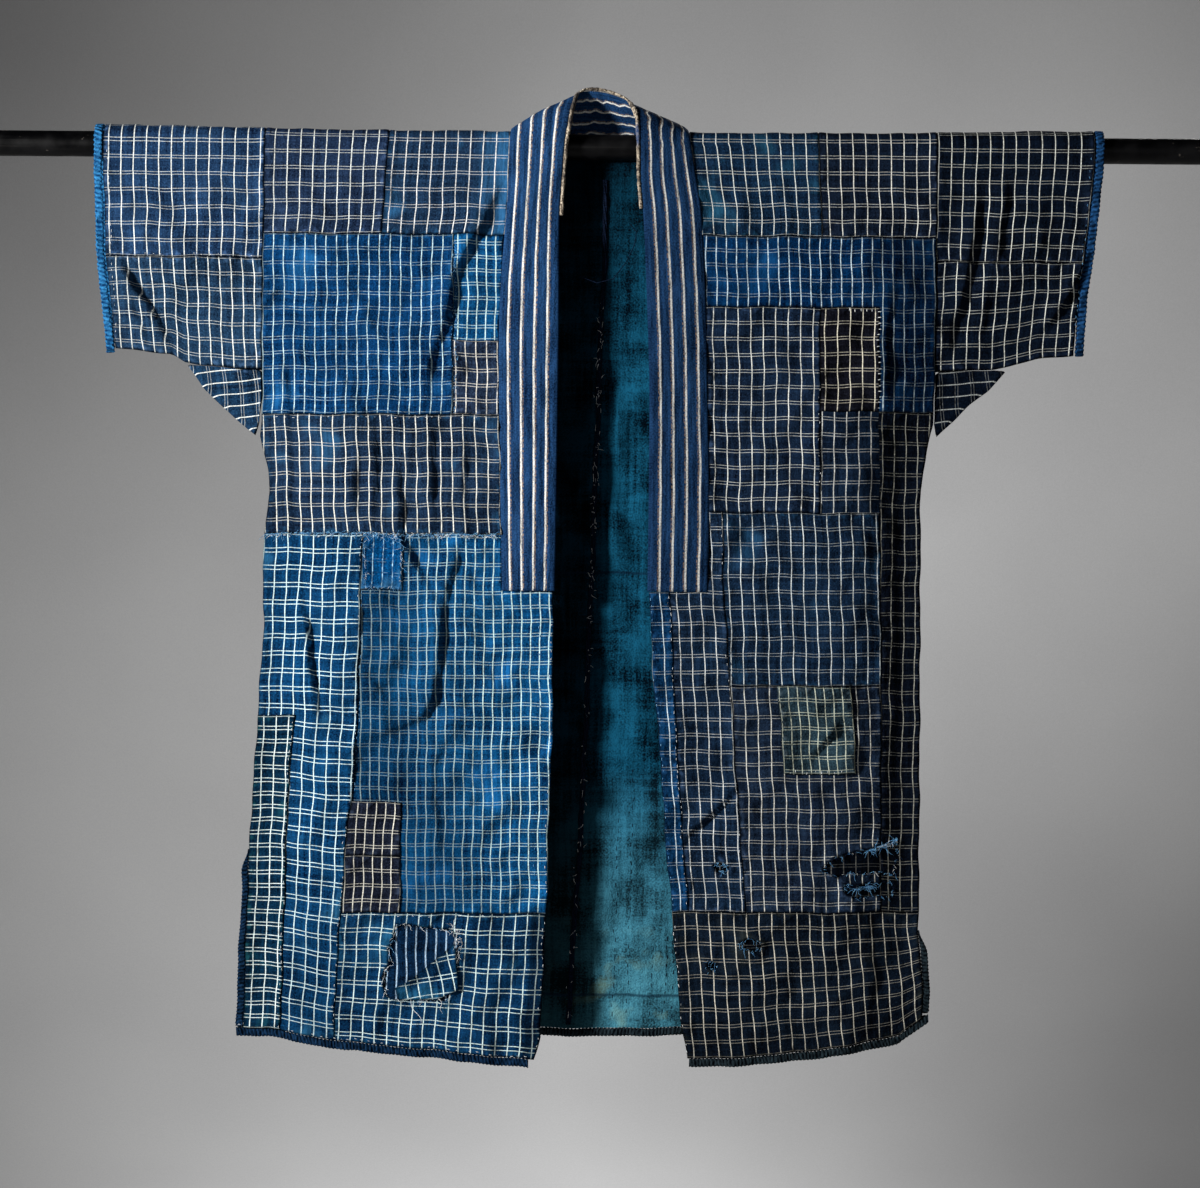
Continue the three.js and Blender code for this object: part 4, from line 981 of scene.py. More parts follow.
def over_rod(node, left, right, low, slot, material):
    """A piece that hangs over the rod, down to the height low in front and behind."""
    left, right = as_line(left), as_line(right)
    arc = math.pi * HANG_RADIUS
    total = 2 * abs(low) + arc
    width = float(np.max(along(right, np.linspace(low, 10, 9)) - along(left, np.linspace(low, 10, 9))))
    us, vs = np.meshgrid(spaced(width, ROD_CLOTH_STEP), spaced(total, ROD_CLOTH_STEP))
    run = vs * total
    front, over = run < -low, (run >= -low) & (run <= -low + arc)
    side = np.where(run < total / 2, FRONT, BACK)
    z = np.where(front, low + run, np.where(over, 0, -(run + low - arc)))
    angle = np.where(over, (run + low) / arc * math.pi - math.pi / 2, 0)
    level = np.where(over | (run > total / 2), 10, z)
    line_left, line_right = along(left, level), along(right, level)
    x = line_left * (1 - us) + line_right * us
    side_edge = np.minimum(us, 1 - us) * width
    end_edge = np.minimum(vs, 1 - vs) * total
    edge = np.minimum(side_edge, end_edge)
    thickness = rounded_edge(edge) + turned_edge(edge, TURNED_EDGE)
    wall_depth = np.where(side == FRONT, depth(x, z, FRONT), depth(x, z, BACK))
    wall_depth = wall_depth + np.where(side == FRONT, pucker(x, z, side_edge, end_edge), 0)
    lift = 0.5 + 0.35 * rumple(x, 3 * run, FRONT).clip(-1, 2)

    def layer(out):
        radius = hang_radius(x) + out + np.where(over, lift * np.cos(angle), 0)
        points = on_wall(x, z, side, out, wall_depth)
        points[..., 1] = np.where(over, radius * np.sin(angle), points[..., 1])
        points[..., 2] = np.where(over, radius * np.cos(angle), points[..., 2])
        return points

    bent = np.where(side == FRONT, crease_sum(x, z, FRONT), crease_sum(x, z, BACK))
    cloth = np.stack([(us - 0.5) * width + CREASE_PULL_X * bent, run + CREASE_PULL_Z * bent], -1)
    obj = closed_sheet("soft_" + node, layer(thickness), layer(0), cloth, np.stack([side_edge, end_edge], -1))
    mean_width = float(np.mean(line_right - line_left)) * MM
    flat = (width * MM, (total + 4) * MM)
    finish_piece(obj, node, slot, material, flat, min(mean_width * flat[1], flat[0] * flat[1]))


def gusset(node, upper, fold, slot, material):
    """The folded square under the arm: sewn in front and behind, with its fold hanging below."""
    columns, rows = 30, 49
    share = np.linspace(0, 1, columns)
    knots = np.linspace(0, 1, len(upper))
    us = np.tile(share, (rows, 1))
    even = np.linspace(-1, 1, rows)
    a = np.tile(np.sign(even) * np.abs(even) ** 1.2, (columns, 1)).T
    t = 1 - np.abs(a)
    line = [np.interp(us, knots, [p[k] for p in pts]) for pts in (upper, fold) for k in (0, 1)]
    x = line[0] * (1 - t) + line[2] * t
    z = line[1] * (1 - t) + line[3] * t
    side = np.where(a < 0, FRONT, BACK)
    turn = smooth(np.abs(a) / 0.10)
    base = np.where(a < 0, depth(x, z, FRONT), depth(x, z, BACK))

    def layer(out):
        drop = (0.6 + 0.75 * out) * (1 - turn)
        points = on_wall(x, z, side, out, base) * np.stack([np.ones(x.shape), turn, np.ones(x.shape)], -1)
        return points + np.stack([np.sign(x) * 0.5 * drop, 0 * drop, -drop], -1)

    width = math.dist(upper[0], upper[-1])
    reach = 2 * math.dist(upper[2], fold[2])
    cloth = np.stack([x + 0.1 * z, -z + 0.12 * x], -1)
    edges = np.stack([np.minimum(us, 1 - us) * width, np.minimum(a + 1, 1 - a) / 2 * reach], -1)
    obj = closed_sheet("soft_" + node, layer(1.0), layer(0.0), cloth, edges)
    size = half_surface(obj)
    length = reach * MM * 1.3
    finish_piece(obj, node, slot, material, (size / length * 1.5, length), size)


def section_ring(count=14, power=0.62):
    """Points round a soft-cornered section, as shares across it and through it."""
    angles = np.arange(count) / count * 2 * math.pi
    soft = lambda values: 0.5 + 0.5 * np.sign(values) * np.abs(values) ** power
    return soft(np.cos(angles)), soft(np.sin(angles))


def bound_edge(node, place, run, out, slot, material, closed=False, pitch=3.6):
    """A narrow roll along an edge. place(run, across, out) gives its points, in millimetres."""
    across, through = section_ring()
    stations = np.tile(run[:, None], (1, len(across)))
    beat = np.sin(2 * math.pi * (stations + 3 * across[None, :]) / pitch)
    swell = 1 + BINDING_LUMPS * beat + 0.08 * np.sin(stations / 3.7) * np.sin(stations / 11.3)
    around = 0.5 + (across[None, :] - 0.5) * (0.93 + 0.5 * (swell - 1))
    deep = 0.5 + (through[None, :] - 0.5) * (0.95 + 0.5 * (swell - 1))
    rings = place(stations, around, out[0] + (out[1] - out[0]) * deep)
    length = float(np.ptp(run)) * MM
    finish_strip(swept("soft_" + node, rings, closed), node, slot, material, length)


def add_cuff(node, cuff, slot, material):
    sign = math.copysign(1, cuff[0][1])
    low = cuff[-1][0]
    straight = abs(low) + 2
    arc = math.pi * 18
    turn = math.pi * 2.2
    total = 2 * straight + arc + turn
    run = np.linspace(0, total, 300)[:-1]

    def place(stations, across, out):
        # Up the front, over the rod, down the back, and under
        front = stations < straight
        over = (stations >= straight) & (stations < straight + arc)
        back = (stations >= straight + arc) & (stations < 2 * straight + arc)
        z = np.where(front, low - 2 + stations, np.where(back, -(stations - straight - arc), 0))
        z = np.where(stations >= 2 * straight + arc, low - 2, z)
        angle = (stations - straight) / arc * math.pi - math.pi / 2
        under = (stations - 2 * straight - arc) / turn * math.pi
        x = along(cuff, np.where(over, 10, z)) - sign * BINDING_WIDTH * (1 - across)
        depth_here = np.where(front, depth(x, z, FRONT), depth(x, z, BACK))
        radius = hang_radius(x) + out
        y = np.where(front, -(depth_here + out), np.where(back, depth_here + out, radius * np.sin(angle)))
        bottom = stations >= 2 * straight + arc
        y = np.where(bottom, (depth(x, z, BACK) + out) * np.cos(under), y)
        z = np.where(over, radius * np.cos(angle), z)
        z = np.where(bottom, z - (1.2 + out) * np.sin(under), z)
        return np.stack([x, y, z], -1)

    bound_edge(node, place, run, (-0.2, 2.4), slot, material, closed=True, pitch=4.6)


def add_hem(node, side, hem, first, last, slot, material):
    def place(stations, across, out):
        z = along(hem, stations) + (1 - across) * BINDING_WIDTH
        return on_wall(stations, z, side, out)

    bound_edge(node, place, np.arange(first, last, 1.35), (-1.4, 2.6), slot, material)


def add_vent(node, side, line, top, outline, hem, slot, material):
    outward_sign = math.copysign(1, outline[0][1])
    bottom = float(along(hem, outline[-1][1])) + BINDING_WIDTH + 0.3

    def place(stations, across, out):
        z = top - stations
        inner = along(line, z) + outward_sign * 0.3
        x = inner + (along(outline, z) - inner) * across * (0.15 + 0.85 * smooth(stations / 22))
        return on_wall(x, z, side, out)

    bound_edge(node, place, np.arange(0, top - bottom, 1.35), (-0.1, 2.6), slot, material)


def front_section(z, sewn_x, free_x):
    y = -float(open_depth(100, z))
    return ((sewn_x, y, z), (free_x, y, z), 0.8)


# The collar's sections: the edge sewn to the jacket, the free edge, and how far the middle stands out
COLLAR_SECTIONS = [
    front_section(COLLAR_END, -89.8, -42), front_section(-345, -91.8, -41), front_section(-260, -93.5, -40.5),
    front_section(-188, -94.5, -40), front_section(-125, -92.4, -40), front_section(-68, -88.4, -40),
    front_section(-30, -86.3, -38),
    ((-85.5, -13.9, 0), (-35, -19, 4), 1), ((-84.5, -10.5, 10), (-32, -19, 18), 2),
    ((-83, -2, 15), (-30, -14, 29), 3.5), ((-78, 7, 14.5), (-27, -6, 39), 5),
    ((-66, 13.9, 10.5), (-24, 3, 48), 5), ((-46, 14.6, 8.5), (-19, 9, 53), 3),
    ((-22, 14.6, 8.2), (-11, 12, 55), 1), ((4, 14.6, 8.2), (2, 12.5, 54), 1),
    ((26, 14.6, 8.2), (15, 11, 50.5), 1.5), ((48, 14.6, 8.5), (26, 7, 45), 3),
    ((66, 13.9, 10.5), (31, 1, 39), 4.5), ((78, 7, 14.5), (35, -7, 32), 4),
    ((82.5, -2, 15), (38, -14, 24), 3), ((84.5, -10.5, 10), (39, -19, 14), 2),
    ((86.5, -13.9, 0), (40, -19, 2), 1),
    front_section(-30, 91.2, 41), front_section(-61, 96.3, 43.5), front_section(-106, 99.3, 46),
    front_section(-176, 102.3, 49), front_section(-245, 104, 51), front_section(-341, 106.2, 51),
    front_section(COLLAR_END, 105.2, 50.5),
]
CORD_FROM = 5
CORD_TO = 23


def smooth_through(knots, values, places):
    """Values at places along a smooth line through the knots (a Catmull-Rom curve)."""
    padded = np.concatenate([[2 * values[0] - values[1]], values, [2 * values[-1] - values[-2]]])
    i = np.clip(np.searchsorted(knots, places, side="right") - 1, 0, len(knots) - 2)
    t = ((places - knots[i]) / (knots[i + 1] - knots[i]))[:, None]
    p0, p1, p2, p3 = padded[i], padded[i + 1], padded[i + 2], padded[i + 3]
    return 0.5 * (2 * p1 + (p2 - p0) * t + (2 * p0 - 5 * p1 + 4 * p2 - p3) * t**2
                  + (3 * p1 - p0 - 3 * p2 + p3) * t**3)


def collar_frame(first, last, step):
    """Sewn edge, free edge, crown, direction out and length along, at stations between two sections."""
    sewn = np.array([s[0] for s in COLLAR_SECTIONS], float)
    free = np.array([s[1] for s in COLLAR_SECTIONS], float)
    crown = np.array([[s[2]] for s in COLLAR_SECTIONS], float)
    middle = (sewn + free) / 2
    knots = np.concatenate([[0], np.cumsum(np.linalg.norm(np.diff(middle, axis=0), axis=1))])
    places = np.linspace(knots[first], knots[last], max(3, int((knots[last] - knots[first]) / step)))
    sewn, free, crown = (smooth_through(knots, values, places) for values in (sewn, free, crown))
    forward = np.gradient((sewn + free) / 2, axis=0)
    out = np.cross(free - sewn, forward)
    return sewn, free, crown, out / np.linalg.norm(out, axis=1, keepdims=True), places


def add_collar(slot, material):
    sewn, free, crown, out, places = collar_frame(0, len(COLLAR_SECTIONS) - 1, 3.2)
    wide, count = 40, 5
    flat_run = np.linspace(0, 1, wide)
    corner = np.linspace(-math.pi / 2, math.pi / 2, count + 2)[1:-1]
    # Round the band: over its outer face, round the free edge, back under, and round the sewn edge
    share = np.concatenate([flat_run, 1 + 0.03 * np.cos(corner), flat_run[::-1], -0.03 * np.cos(corner)])
    level = np.concatenate([np.ones(wide), -np.sin(corner), -np.ones(wide), np.sin(corner)])
    soft = np.clip(np.minimum(share, 1 - share) / 0.07, 0, 1) ** 0.5 * 0.28 + 0.72
    across = np.clip(share, 0.0, 1.0)[None, :, None]
    spine = sewn[:, None] * (1 - across) + free[:, None] * across
    sideways = (free - sewn)[:, None] * ((share - np.clip(share, 0, 1))[None, :, None])
    ripple = (
        0.9 * np.sin(places[:, None] / 17 + 5 * share[None, :]) * np.sin(places[:, None] / 43 + 1)
        + 0.5 * np.sin(places[:, None] / 8.3 - 4 * share[None, :]) * np.sin(places[:, None] / 29)
    )
    neck = np.exp(-(((places - places[-1] * 0.5) / 110) ** 2))[:, None]
    end = np.clip(np.minimum(places, places[-1] - places) / 3.0, 0, 1)[:, None] ** 0.5 * 0.5 + 0.5
    inside = across[..., 0]
    ripple = ripple * (0.25 + 0.75 * neck)
    rise = crown * 4 * inside * (1 - inside) + ripple * 4 * inside * (1 - inside)
    thick = BAND / 2 * (1 + level * soft)
    thick = BAND / 2 + (thick - BAND / 2) * end
    rings = spine + sideways + out[:, None] * (rise + thick)[..., None]
    obj = swept("soft_collar", rings, width=np.clip(share, 0, 1) * 50)
    finish_strip(obj, "collar", slot, material, float(places[-1]) * MM)


def add_collar_edge(slot, material):
    sewn, free, _, out, places = collar_frame(CORD_FROM, CORD_TO, 1.6)
    beyond = (free - sewn) / np.linalg.norm(free - sewn, axis=1, keepdims=True)
    across, through = section_ring(12, 0.85)
    rng = np.random.default_rng(8)
    lumps = np.interp(places, np.linspace(places[0], places[-1], 170), rng.uniform(-1, 1, 170))[:, None]
    twist = 0.35 * np.sin(2 * math.pi * places[:, None] / 4.6 + 6.28 * across[None, :])
    width = 1.7 + 3.5 * (0.5 + (across[None, :] - 0.5) * (1 + 0.2 * lumps))
    deep = -0.2 + 5.2 * (0.5 + (through[None, :] - 0.5) * (0.92 + 0.12 * lumps)) + twist * 0.6
    rings = free[:, None] + beyond[:, None] * width[..., None] + out[:, None] * deep[..., None]
    obj = swept("soft_collar_edge", rings)
    size = half_surface(obj)
    length = float(places[-1] - places[0]) * MM
    finish_piece(obj, "collar_edge", slot, material, (0.012, length), min(size, 0.012 * length))


def add_rod(material):
    """The rod is turned: slightly uneven along its length, with rounded ends."""
    sides = 72
    ends = np.array([0, 0.3, 1.0, 2.2])
    middle = np.linspace(-ROD_HALF_LENGTH + 4, ROD_HALF_LENGTH - 4, 140)
    places = np.concatenate([-ROD_HALF_LENGTH + ends, middle, ROD_HALF_LENGTH - ends[::-1]])
    edge = ROD_HALF_LENGTH - np.abs(places)
    radius = ROD_RADIUS - 1.4 * np.clip(1 - edge / 2.2, 0, 1) ** 2 - 0.06 * (1 + np.sin(places / 31))
    angles = np.arange(sides) / sides * 2 * math.pi
    along_rod = np.tile(places[:, None], (1, sides))
    rings = np.stack([along_rod, radius[:, None] * np.cos(angles), radius[:, None] * np.sin(angles)], -1)
    obj = swept("rod_bar", rings)
    obj.data.materials.append(material)
    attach(obj, "root")
    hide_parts("rod")


# ---------------------------------------------------------------------------------------------------------
# Stitches and loose threads

PATCH_LIFT = 1.3
STITCH_LIFT = 1.45
ON_PATCH = PATCH_LIFT + STITCH_LIFT


class Threads:
    """Many short pieces of thread in one mesh."""

    def __init__(self, name, slot, material):
        self.name, self.slot, self.material = name, slot, material
        self.points, self.faces, self.count = [], [], 0

    def tubes(self, spines, radii, normals):
        """Tubes along spines (pieces, stations, 3), with one radius for each station."""
        pieces, stations = spines.shape[:2]
        sides = 4
        forward = np.gradient(spines, axis=1)
        forward /= np.linalg.norm(forward, axis=2, keepdims=True) + 1e-9
        across = np.cross(forward, normals[:, None])
        across /= np.linalg.norm(across, axis=2, keepdims=True) + 1e-9
        up = np.cross(across, forward)
        turns = np.arange(sides) / sides * 2 * math.pi
        ring = (across[:, :, None] * np.cos(turns)[:, None] + up[:, :, None] * np.sin(turns)[:, None])
        points = spines[:, :, None] + ring * np.asarray(radii)[None, :, None, None]
        index = np.arange(stations * sides).reshape(stations, sides)
        here, after = index[:-1], index[1:]
        quads = np.stack([here, np.roll(here, -1, 1), np.roll(after, -1, 1), after], -1).reshape(-1, 4)
        quads = np.concatenate([quads, index[:1], index[-1:, ::-1]])
        shifts = (np.arange(pieces) * stations * sides)[:, None, None]
        self.points.append(points.reshape(-1, 3))
        self.faces.append((quads[None] + shifts).reshape(-1, 4) + self.count)
        self.count += pieces * stations * sides

    def run(self, line, lift=ON_PATCH, side=FRONT, pitch=5.4, length=2.8, radius=0.27, across=0.0, wobble=0.5,
            skip=0.1, shift=0.0):
        """Stitches along a line of (x, z) points. across is how long each reaches across the line instead."""
        line = np.array(line, float)
        runs = np.concatenate([[0], np.cumsum(np.hypot(*np.diff(line, axis=0).T))])
        rng = np.random.default_rng(int(abs(line.sum()) * 10) % 99991)
        places = np.arange(pitch / 2 + shift, runs[-1] - 1, pitch)
        places = places[rng.random(len(places)) > skip]
        x, z = (np.interp(places, runs, line[:, k]) for k in (0, 1))
        ahead_x, ahead_z = (np.interp(places + 0.5, runs, line[:, k]) - v for k, v in ((0, x), (1, z)))
        angle = np.arctan2(ahead_z, ahead_x) + rng.normal(0, 0.09, len(x)) + (math.pi / 2 if across else 0)
        x, z = x + rng.normal(0, wobble, len(x)), z + rng.normal(0, wobble, len(x))
        reach = (across or length) * rng.uniform(0.75, 1.2, len(x)) / 2
        t = np.array([-1, -0.82, -0.3, 0.3, 0.82, 1])
        px = x[:, None] + np.cos(angle)[:, None] * reach[:, None] * t
        pz = z[:, None] + np.sin(angle)[:, None] * reach[:, None] * t
        bow = np.array([-0.5, 0.1, 0.3, 0.3, 0.1, -0.5])
        normals = np.tile([0.0, side, 0.0], (len(x), 1))
        radii = radius * np.array([0.15, 0.75, 1, 1, 0.75, 0.15])
        self.tubes(on_wall(px, pz, side, lift + bow * radius), radii, normals)

    def fray(self, starts, directions, lengths, radius=0.28, curl=0.35, seed=1):
        """Loose ends from starts, in millimetres, that bend and hang a little."""
        rng = np.random.default_rng(seed)
        starts, directions = np.array(starts, float), np.array(directions, float)
        t = np.linspace(0, 1, 7)[None, :, None]
        lengths = np.asarray(lengths)[:, None, None]
        bend = rng.normal(0, curl, (len(starts), 1, 3)) * lengths
        second = rng.normal(0, curl * 0.5, (len(starts), 1, 3)) * lengths
        drop = np.array([0, 0, -0.35]) * lengths
        spines = starts[:, None] + directions[:, None] * t * lengths + bend * t**2
        spines = spines + second * np.sin(6 * t) * t + drop * t**2
        radii = radius * np.array([1, 1, 1, 0.95, 0.85, 0.7, 0.2])
        self.tubes(spines, radii, rng.normal(0, 1, (len(starts), 3)))

    def build(self):
        points, faces = np.concatenate(self.points), np.concatenate(self.faces)
        obj = make_object(self.name, points, faces)
        obj.data.materials.append(self.material)
        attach(obj, "root")


# ---------------------------------------------------------------------------------------------------------
# The jacket

RIGHT_STRIP = [[-87, -297], [-374, -296], [-553, -291], [-633, -297], [-900, -303]]
RIGHT_SIDE_PATCH = [
    [-87, -210], [-385, -226], [-536, -229], [-614, -232], [-655, -238], [-791, -247], [-900, -251],
]
RIGHT_NECK = [[-87, -91], [-188, -95.5], [-260, -94.5], [-430, -90.5], [-900, -92]]
LEFT_EDGE_STRIP = [[-430, 71], [-566, 78], [-655, 84], [-738, 91], [-900, 108]]
LEFT_NECK = [[-87, 100], [-106, 101], [-176, 104], [-341, 107.5], [-430, 107], [-738, 119], [-900, 132]]
LEFT_OVERLAP = [[-87, 132], [-355, 121], [-418, 122], [-522, 130], [-634, 138], [-724, 145], [-900, 160]]
LEFT_172 = [[-87, 172], [-520, 174], [-607, 182], [-900, 190]]
LEFT_213 = [[-87, 213], [-900, 218]]
LEFT_242 = [[-87, 242], [-520, 247], [-607, 252], [-900, 254]]
LEFT_270 = [[-87, 270], [-255, 271], [-508, 276], [-900, 277]]
RIGHT_HEM_SEAM = -741
LEFT_HEM_SEAM = -738
NECKLINE = 7
CENTRE_SEAM = 0
TOP_LIFT = 2.6
LINING_LIFT = -1.3
LINING_TOP = -9
INNER_SEAM = [[-20, 6], [-106, 5], [-241, 0], [-412, -5], [-646, -13], [-814, -23], [-860, -26]]

RIGHT_TEAR = [
    (-190, -752), (-193, -764), (-197, -776), (-198, -790), (-204, -803), (-202, -814), (-199, -822),
    (-188, -824), (-176, -823), (-160, -826), (-141, -825), (-136, -811), (-134, -797), (-129, -782),
    (-130, -768), (-137, -758), (-150, -756), (-172, -753),
]
LEFT_TEAR = [
    (219, -697), (224, -691), (232, -685), (250, -680), (268, -677), (283, -673), (292, -668), (294, -680),
    (290, -691), (289, -702), (276, -699), (262, -702), (247, -699), (234, -704), (227, -700),
]
LEFT_TEAR_BELOW = [
    (238, -710), (252, -712), (270, -710), (286, -709), (290, -716), (284, -724), (268, -722), (252, -725),
    (240, -719),
]
LEFT_HOLES = [
    [(114, -694), (121, -690), (129, -693), (127, -699), (118, -700)],
    [(140, -766), (149, -762), (158, -765), (162, -771), (154, -773), (144, -773)],
    [(110, -787), (116, -786), (119, -791), (114, -795), (109, -792)],
]


def raised(line):
    """The line a binding's width above its hem."""
    return [[x, z + BINDING_WIDTH] for x, z in line]


def neck_notch(line, free_x):
    """The part of a front panel's outline that the collar takes."""
    steps = [(float(along(line, z)), z) for z in (-60, -106, -176, -260, -345, -430)]
    return [(free_x, -60), *steps, (free_x, -430)]


def make_fronts(cloth):
    def piece(node, left, right, top, bottom, slot, look, lift=PATCH_LIFT, **more):
        return Patch(node, left, right, top, bottom, "cloth_" + slot, cloth[look], lift=lift, **more)

    hem_edge, side, seam, hem_seam = raised(RIGHT_HEM), RIGHT_SIDE, RIGHT_SIDE_PATCH, RIGHT_HEM_SEAM
    chest = piece("patch_chest_right", side, -140, YOKE, -261, "bright_check", "chest_right")
    breast = piece("patch_breast_right", -140, RIGHT_NECK, -189, -261, "brown_check", "breast_right")
    waist = piece("patch_waist_right", side, RIGHT_NECK, -261, -376, "navy_check", "waist_right")
    flank = piece("patch_side_right", side, seam, -376, hem_edge, "white_check", "side_right")
    strip = piece("patch_strip_right", side, RIGHT_STRIP, -552, hem_edge, "white_check", "strip_right",
                  TOP_LIFT)
    worn = piece("patch_worn_right", seam, -187, -376, -430, "worn_blue", "worn_right", step=2.4)
    hip_upper = piece("patch_hip_upper_right", seam, -187, -634, -686, "brown_check", "hip_right")
    hip_lower = piece("patch_hip_lower_right", seam, -187, -686, hem_seam, "brown_check", "hip_right")
    hem = piece("patch_hem_right", seam, RIGHT_OPENING, hem_seam, hem_edge, "white_check", "hem_right",
                step=2.6)
    base = piece("front_right", side, RIGHT_OPENING, YOKE, hem_seam, "blue_check", "dense_right", 0.0,
                 plain=True)
    hem_base = piece("front_right_hem", side, RIGHT_OPENING, hem_seam, hem_edge, "dark_stripe", "torn_under",
                     0.0, step=4.5, plain=True)
    hem.torn = [RIGHT_TEAR]
    base.holes = [neck_notch(RIGHT_NECK, -30)]
    base.under = [chest, breast, waist, flank, worn, hip_upper, hip_lower]
    hem_base.under = [flank, hem]
    flank.under = [strip]
    for patch in (base, hem_base, chest, breast, waist, flank, strip, worn, hip_upper, hip_lower, hem):
        patch.build()
    add_flap(cloth["hem_right"])

    hem_edge, side, seam = raised(LEFT_HEM), LEFT_SIDE, LEFT_HEM_SEAM
    chest = piece("patch_chest_left", LEFT_NECK, side, YOKE, -255, "bright_check", "chest_left")
    breast = piece("patch_breast_left", LEFT_NECK, LEFT_213, -155, -353, "navy_check", "breast_left")
    brown = piece("patch_brown_left", LEFT_213, LEFT_270, -155, -255, "brown_check", "brown_left")
    waist = piece("patch_waist_left", LEFT_OVERLAP, LEFT_270, -353, -520, "navy_check", "waist_left")
    flank = piece("patch_side_left", LEFT_270, side, -255, seam, "dark_check", "side_left")
    overlap = piece("overlap_left", LEFT_EDGE_STRIP, LEFT_OVERLAP, -353, seam, "navy_check", "overlap_left",
                    step=2.8)
    edge_strip = piece("edge_strip_left", LEFT_OPENING, LEFT_EDGE_STRIP, COLLAR_END, seam, "blue_check",
                       "edge_strip_left")
    hip = piece("patch_hip_left", LEFT_OVERLAP, LEFT_270, -520, seam, "navy_check", "hip_left", step=2.8)
    olive = piece("patch_olive_left", LEFT_172, LEFT_242, -520, -605, "olive_check", "olive_left", TOP_LIFT)
    hem = piece("patch_hem_left", LEFT_OPENING, side, seam, hem_edge, "dark_check", "hem_left", step=2.8)
    base = piece("front_left", LEFT_OPENING, side, YOKE, hem_edge, "navy_check", "under_left", 0.0, step=4.2,
                 plain=True)
    inner = [(float(along(LEFT_270, z)), z) for z in (-155, -255)]
    chest.holes = [[(60, -155), *inner, (271, -300), (60, -300)]]
    base.holes = [neck_notch(LEFT_NECK, 30)]
    base.under = [chest, breast, brown, waist, flank, overlap, edge_strip, hip, hem]
    overlap.holes = [[(60, -340), (float(along(LEFT_NECK, -353)), -340), (107, COLLAR_END), (60, COLLAR_END)]]
    overlap.torn = LEFT_HOLES[:1]
    hem.torn = LEFT_HOLES[1:]
    hip.torn = [LEFT_TEAR, LEFT_TEAR_BELOW]
    hip.under = [olive]
    for patch in (base, chest, breast, brown, waist, flank, overlap, edge_strip, hip, olive, hem):
        patch.build()


def add_flap(material):
    """The torn corner of the hem patch, folded down over the opening and curled at its free edge."""
    top = [[-196, -815], [-182, -808], [-152, -785], [-131, -768]]
    bottom = [[-196, -823], [-182, -824], [-152, -825], [-131, -815]]
    us, vs = np.meshgrid(spaced(62, 2), spaced(34, 2))
    x = -190 + 58 * us + 3 * (vs - 0.5)
    z = along(top, x) * (1 - vs) + along(bottom, x) * vs
    curl = 1.6 * np.exp(-((vs / 0.16) ** 2)) + 1.2 * us * np.exp(-(((1 - us) / 0.15) ** 2))
    base = depth(x, z, FRONT) + 3.4 + curl + 0.5 * np.sin(us * 9) * vs

    def layer(out):
        return on_wall(x, z, FRONT, out, base)

    cloth = np.stack([x + 0.22 * z, 0.16 * x - z], -1)
    edges = np.stack([np.minimum(us, 1 - us) * 58, np.minimum(vs, 1 - vs) * 34], -1)
    obj = closed_sheet("soft_flap_torn_right", layer(0.9), layer(0), cloth, edges)
    size = min(half_surface(obj), 0.0026)
    finish_piece(obj, "flap_torn_right", "cloth_white_check", material, (0.06, 0.044), size)


def make_back(cloth, lining):
    hem = raised(BACK_HEM)

    def panel(node, left, right, top, sign, shoulder, slot, material, **more):
        patch = Patch(node, left, right, top, hem, slot, material, side=BACK, **more)
        patch.holes = [[(sign * x, z) for x, z in shoulder]]
        patch.build()

    outer = [(400, YOKE), (400, 40), (87, 40), (87, YOKE)]
    for node, left, right, sign, cut_from in (
        ("back_right", RIGHT_SIDE, CENTRE_SEAM, -1, 0.0), ("back_left", CENTRE_SEAM, LEFT_SIDE, 1, 735.0),
    ):
        panel(node, left, right, NECKLINE, sign, outer, "cloth_navy_check", cloth["back"], step=5.5,
              cut_from=cut_from)
    inner = [(300, YOKE), (300, 0), (87, 0), (87, YOKE)]
    for node, left, right, sign in (
        ("lining_right", -250, CENTRE_SEAM, -1), ("lining_left", CENTRE_SEAM, 245, 1),
    ):
        panel(node, left, right, LINING_TOP, sign, inner, "lining_indigo", lining, lift=LINING_LIFT, step=5,
              plain=True)


def make_shoulders(cloth):
    right_seam = [[20, -203], [-87, -210]]
    left_seam = [[20, 211], [-87, 215]]
    for name, left, right, slot in (
        ("shoulder_outer_right", RIGHT_SIDE, right_seam, "cloth_navy_check"),
        ("shoulder_inner_right", right_seam, RIGHT_COLLAR_SEAM, "cloth_navy_check"),
        ("shoulder_inner_left", LEFT_COLLAR_SEAM, left_seam, "cloth_navy_check"),
        ("shoulder_outer_left", left_seam, LEFT_SIDE, "cloth_dark_check"),
    ):
        over_rod(name, left, right, YOKE, slot, cloth[name])


def make_sleeve(hand, seam, cuff, lower_edge, upper, fold, slot, cloths, cuff_slot, cuff_material):
    sign = math.copysign(1, cuff[0][1])
    end = [[z, x - sign * (BINDING_WIDTH + 0.9)] for z, x in cuff]
    left, right = (seam, end) if sign > 0 else (end, seam)
    over_rod("sleeve_upper_" + hand, left, right, SLEEVE_SEAM, slot, cloths[0])
    for side, word, step in ((FRONT, "front", 3.2), (BACK, "back", 5)):
        node = f"sleeve_lower_{word}_{hand}"
        Patch(node, left, right, SLEEVE_SEAM, lower_edge, slot, cloths[1], side=side, step=step).build()
    gusset("gusset_" + hand, upper, fold, slot, cloths[2])
    add_cuff("cuff_" + hand, cuff, cuff_slot, cuff_material)


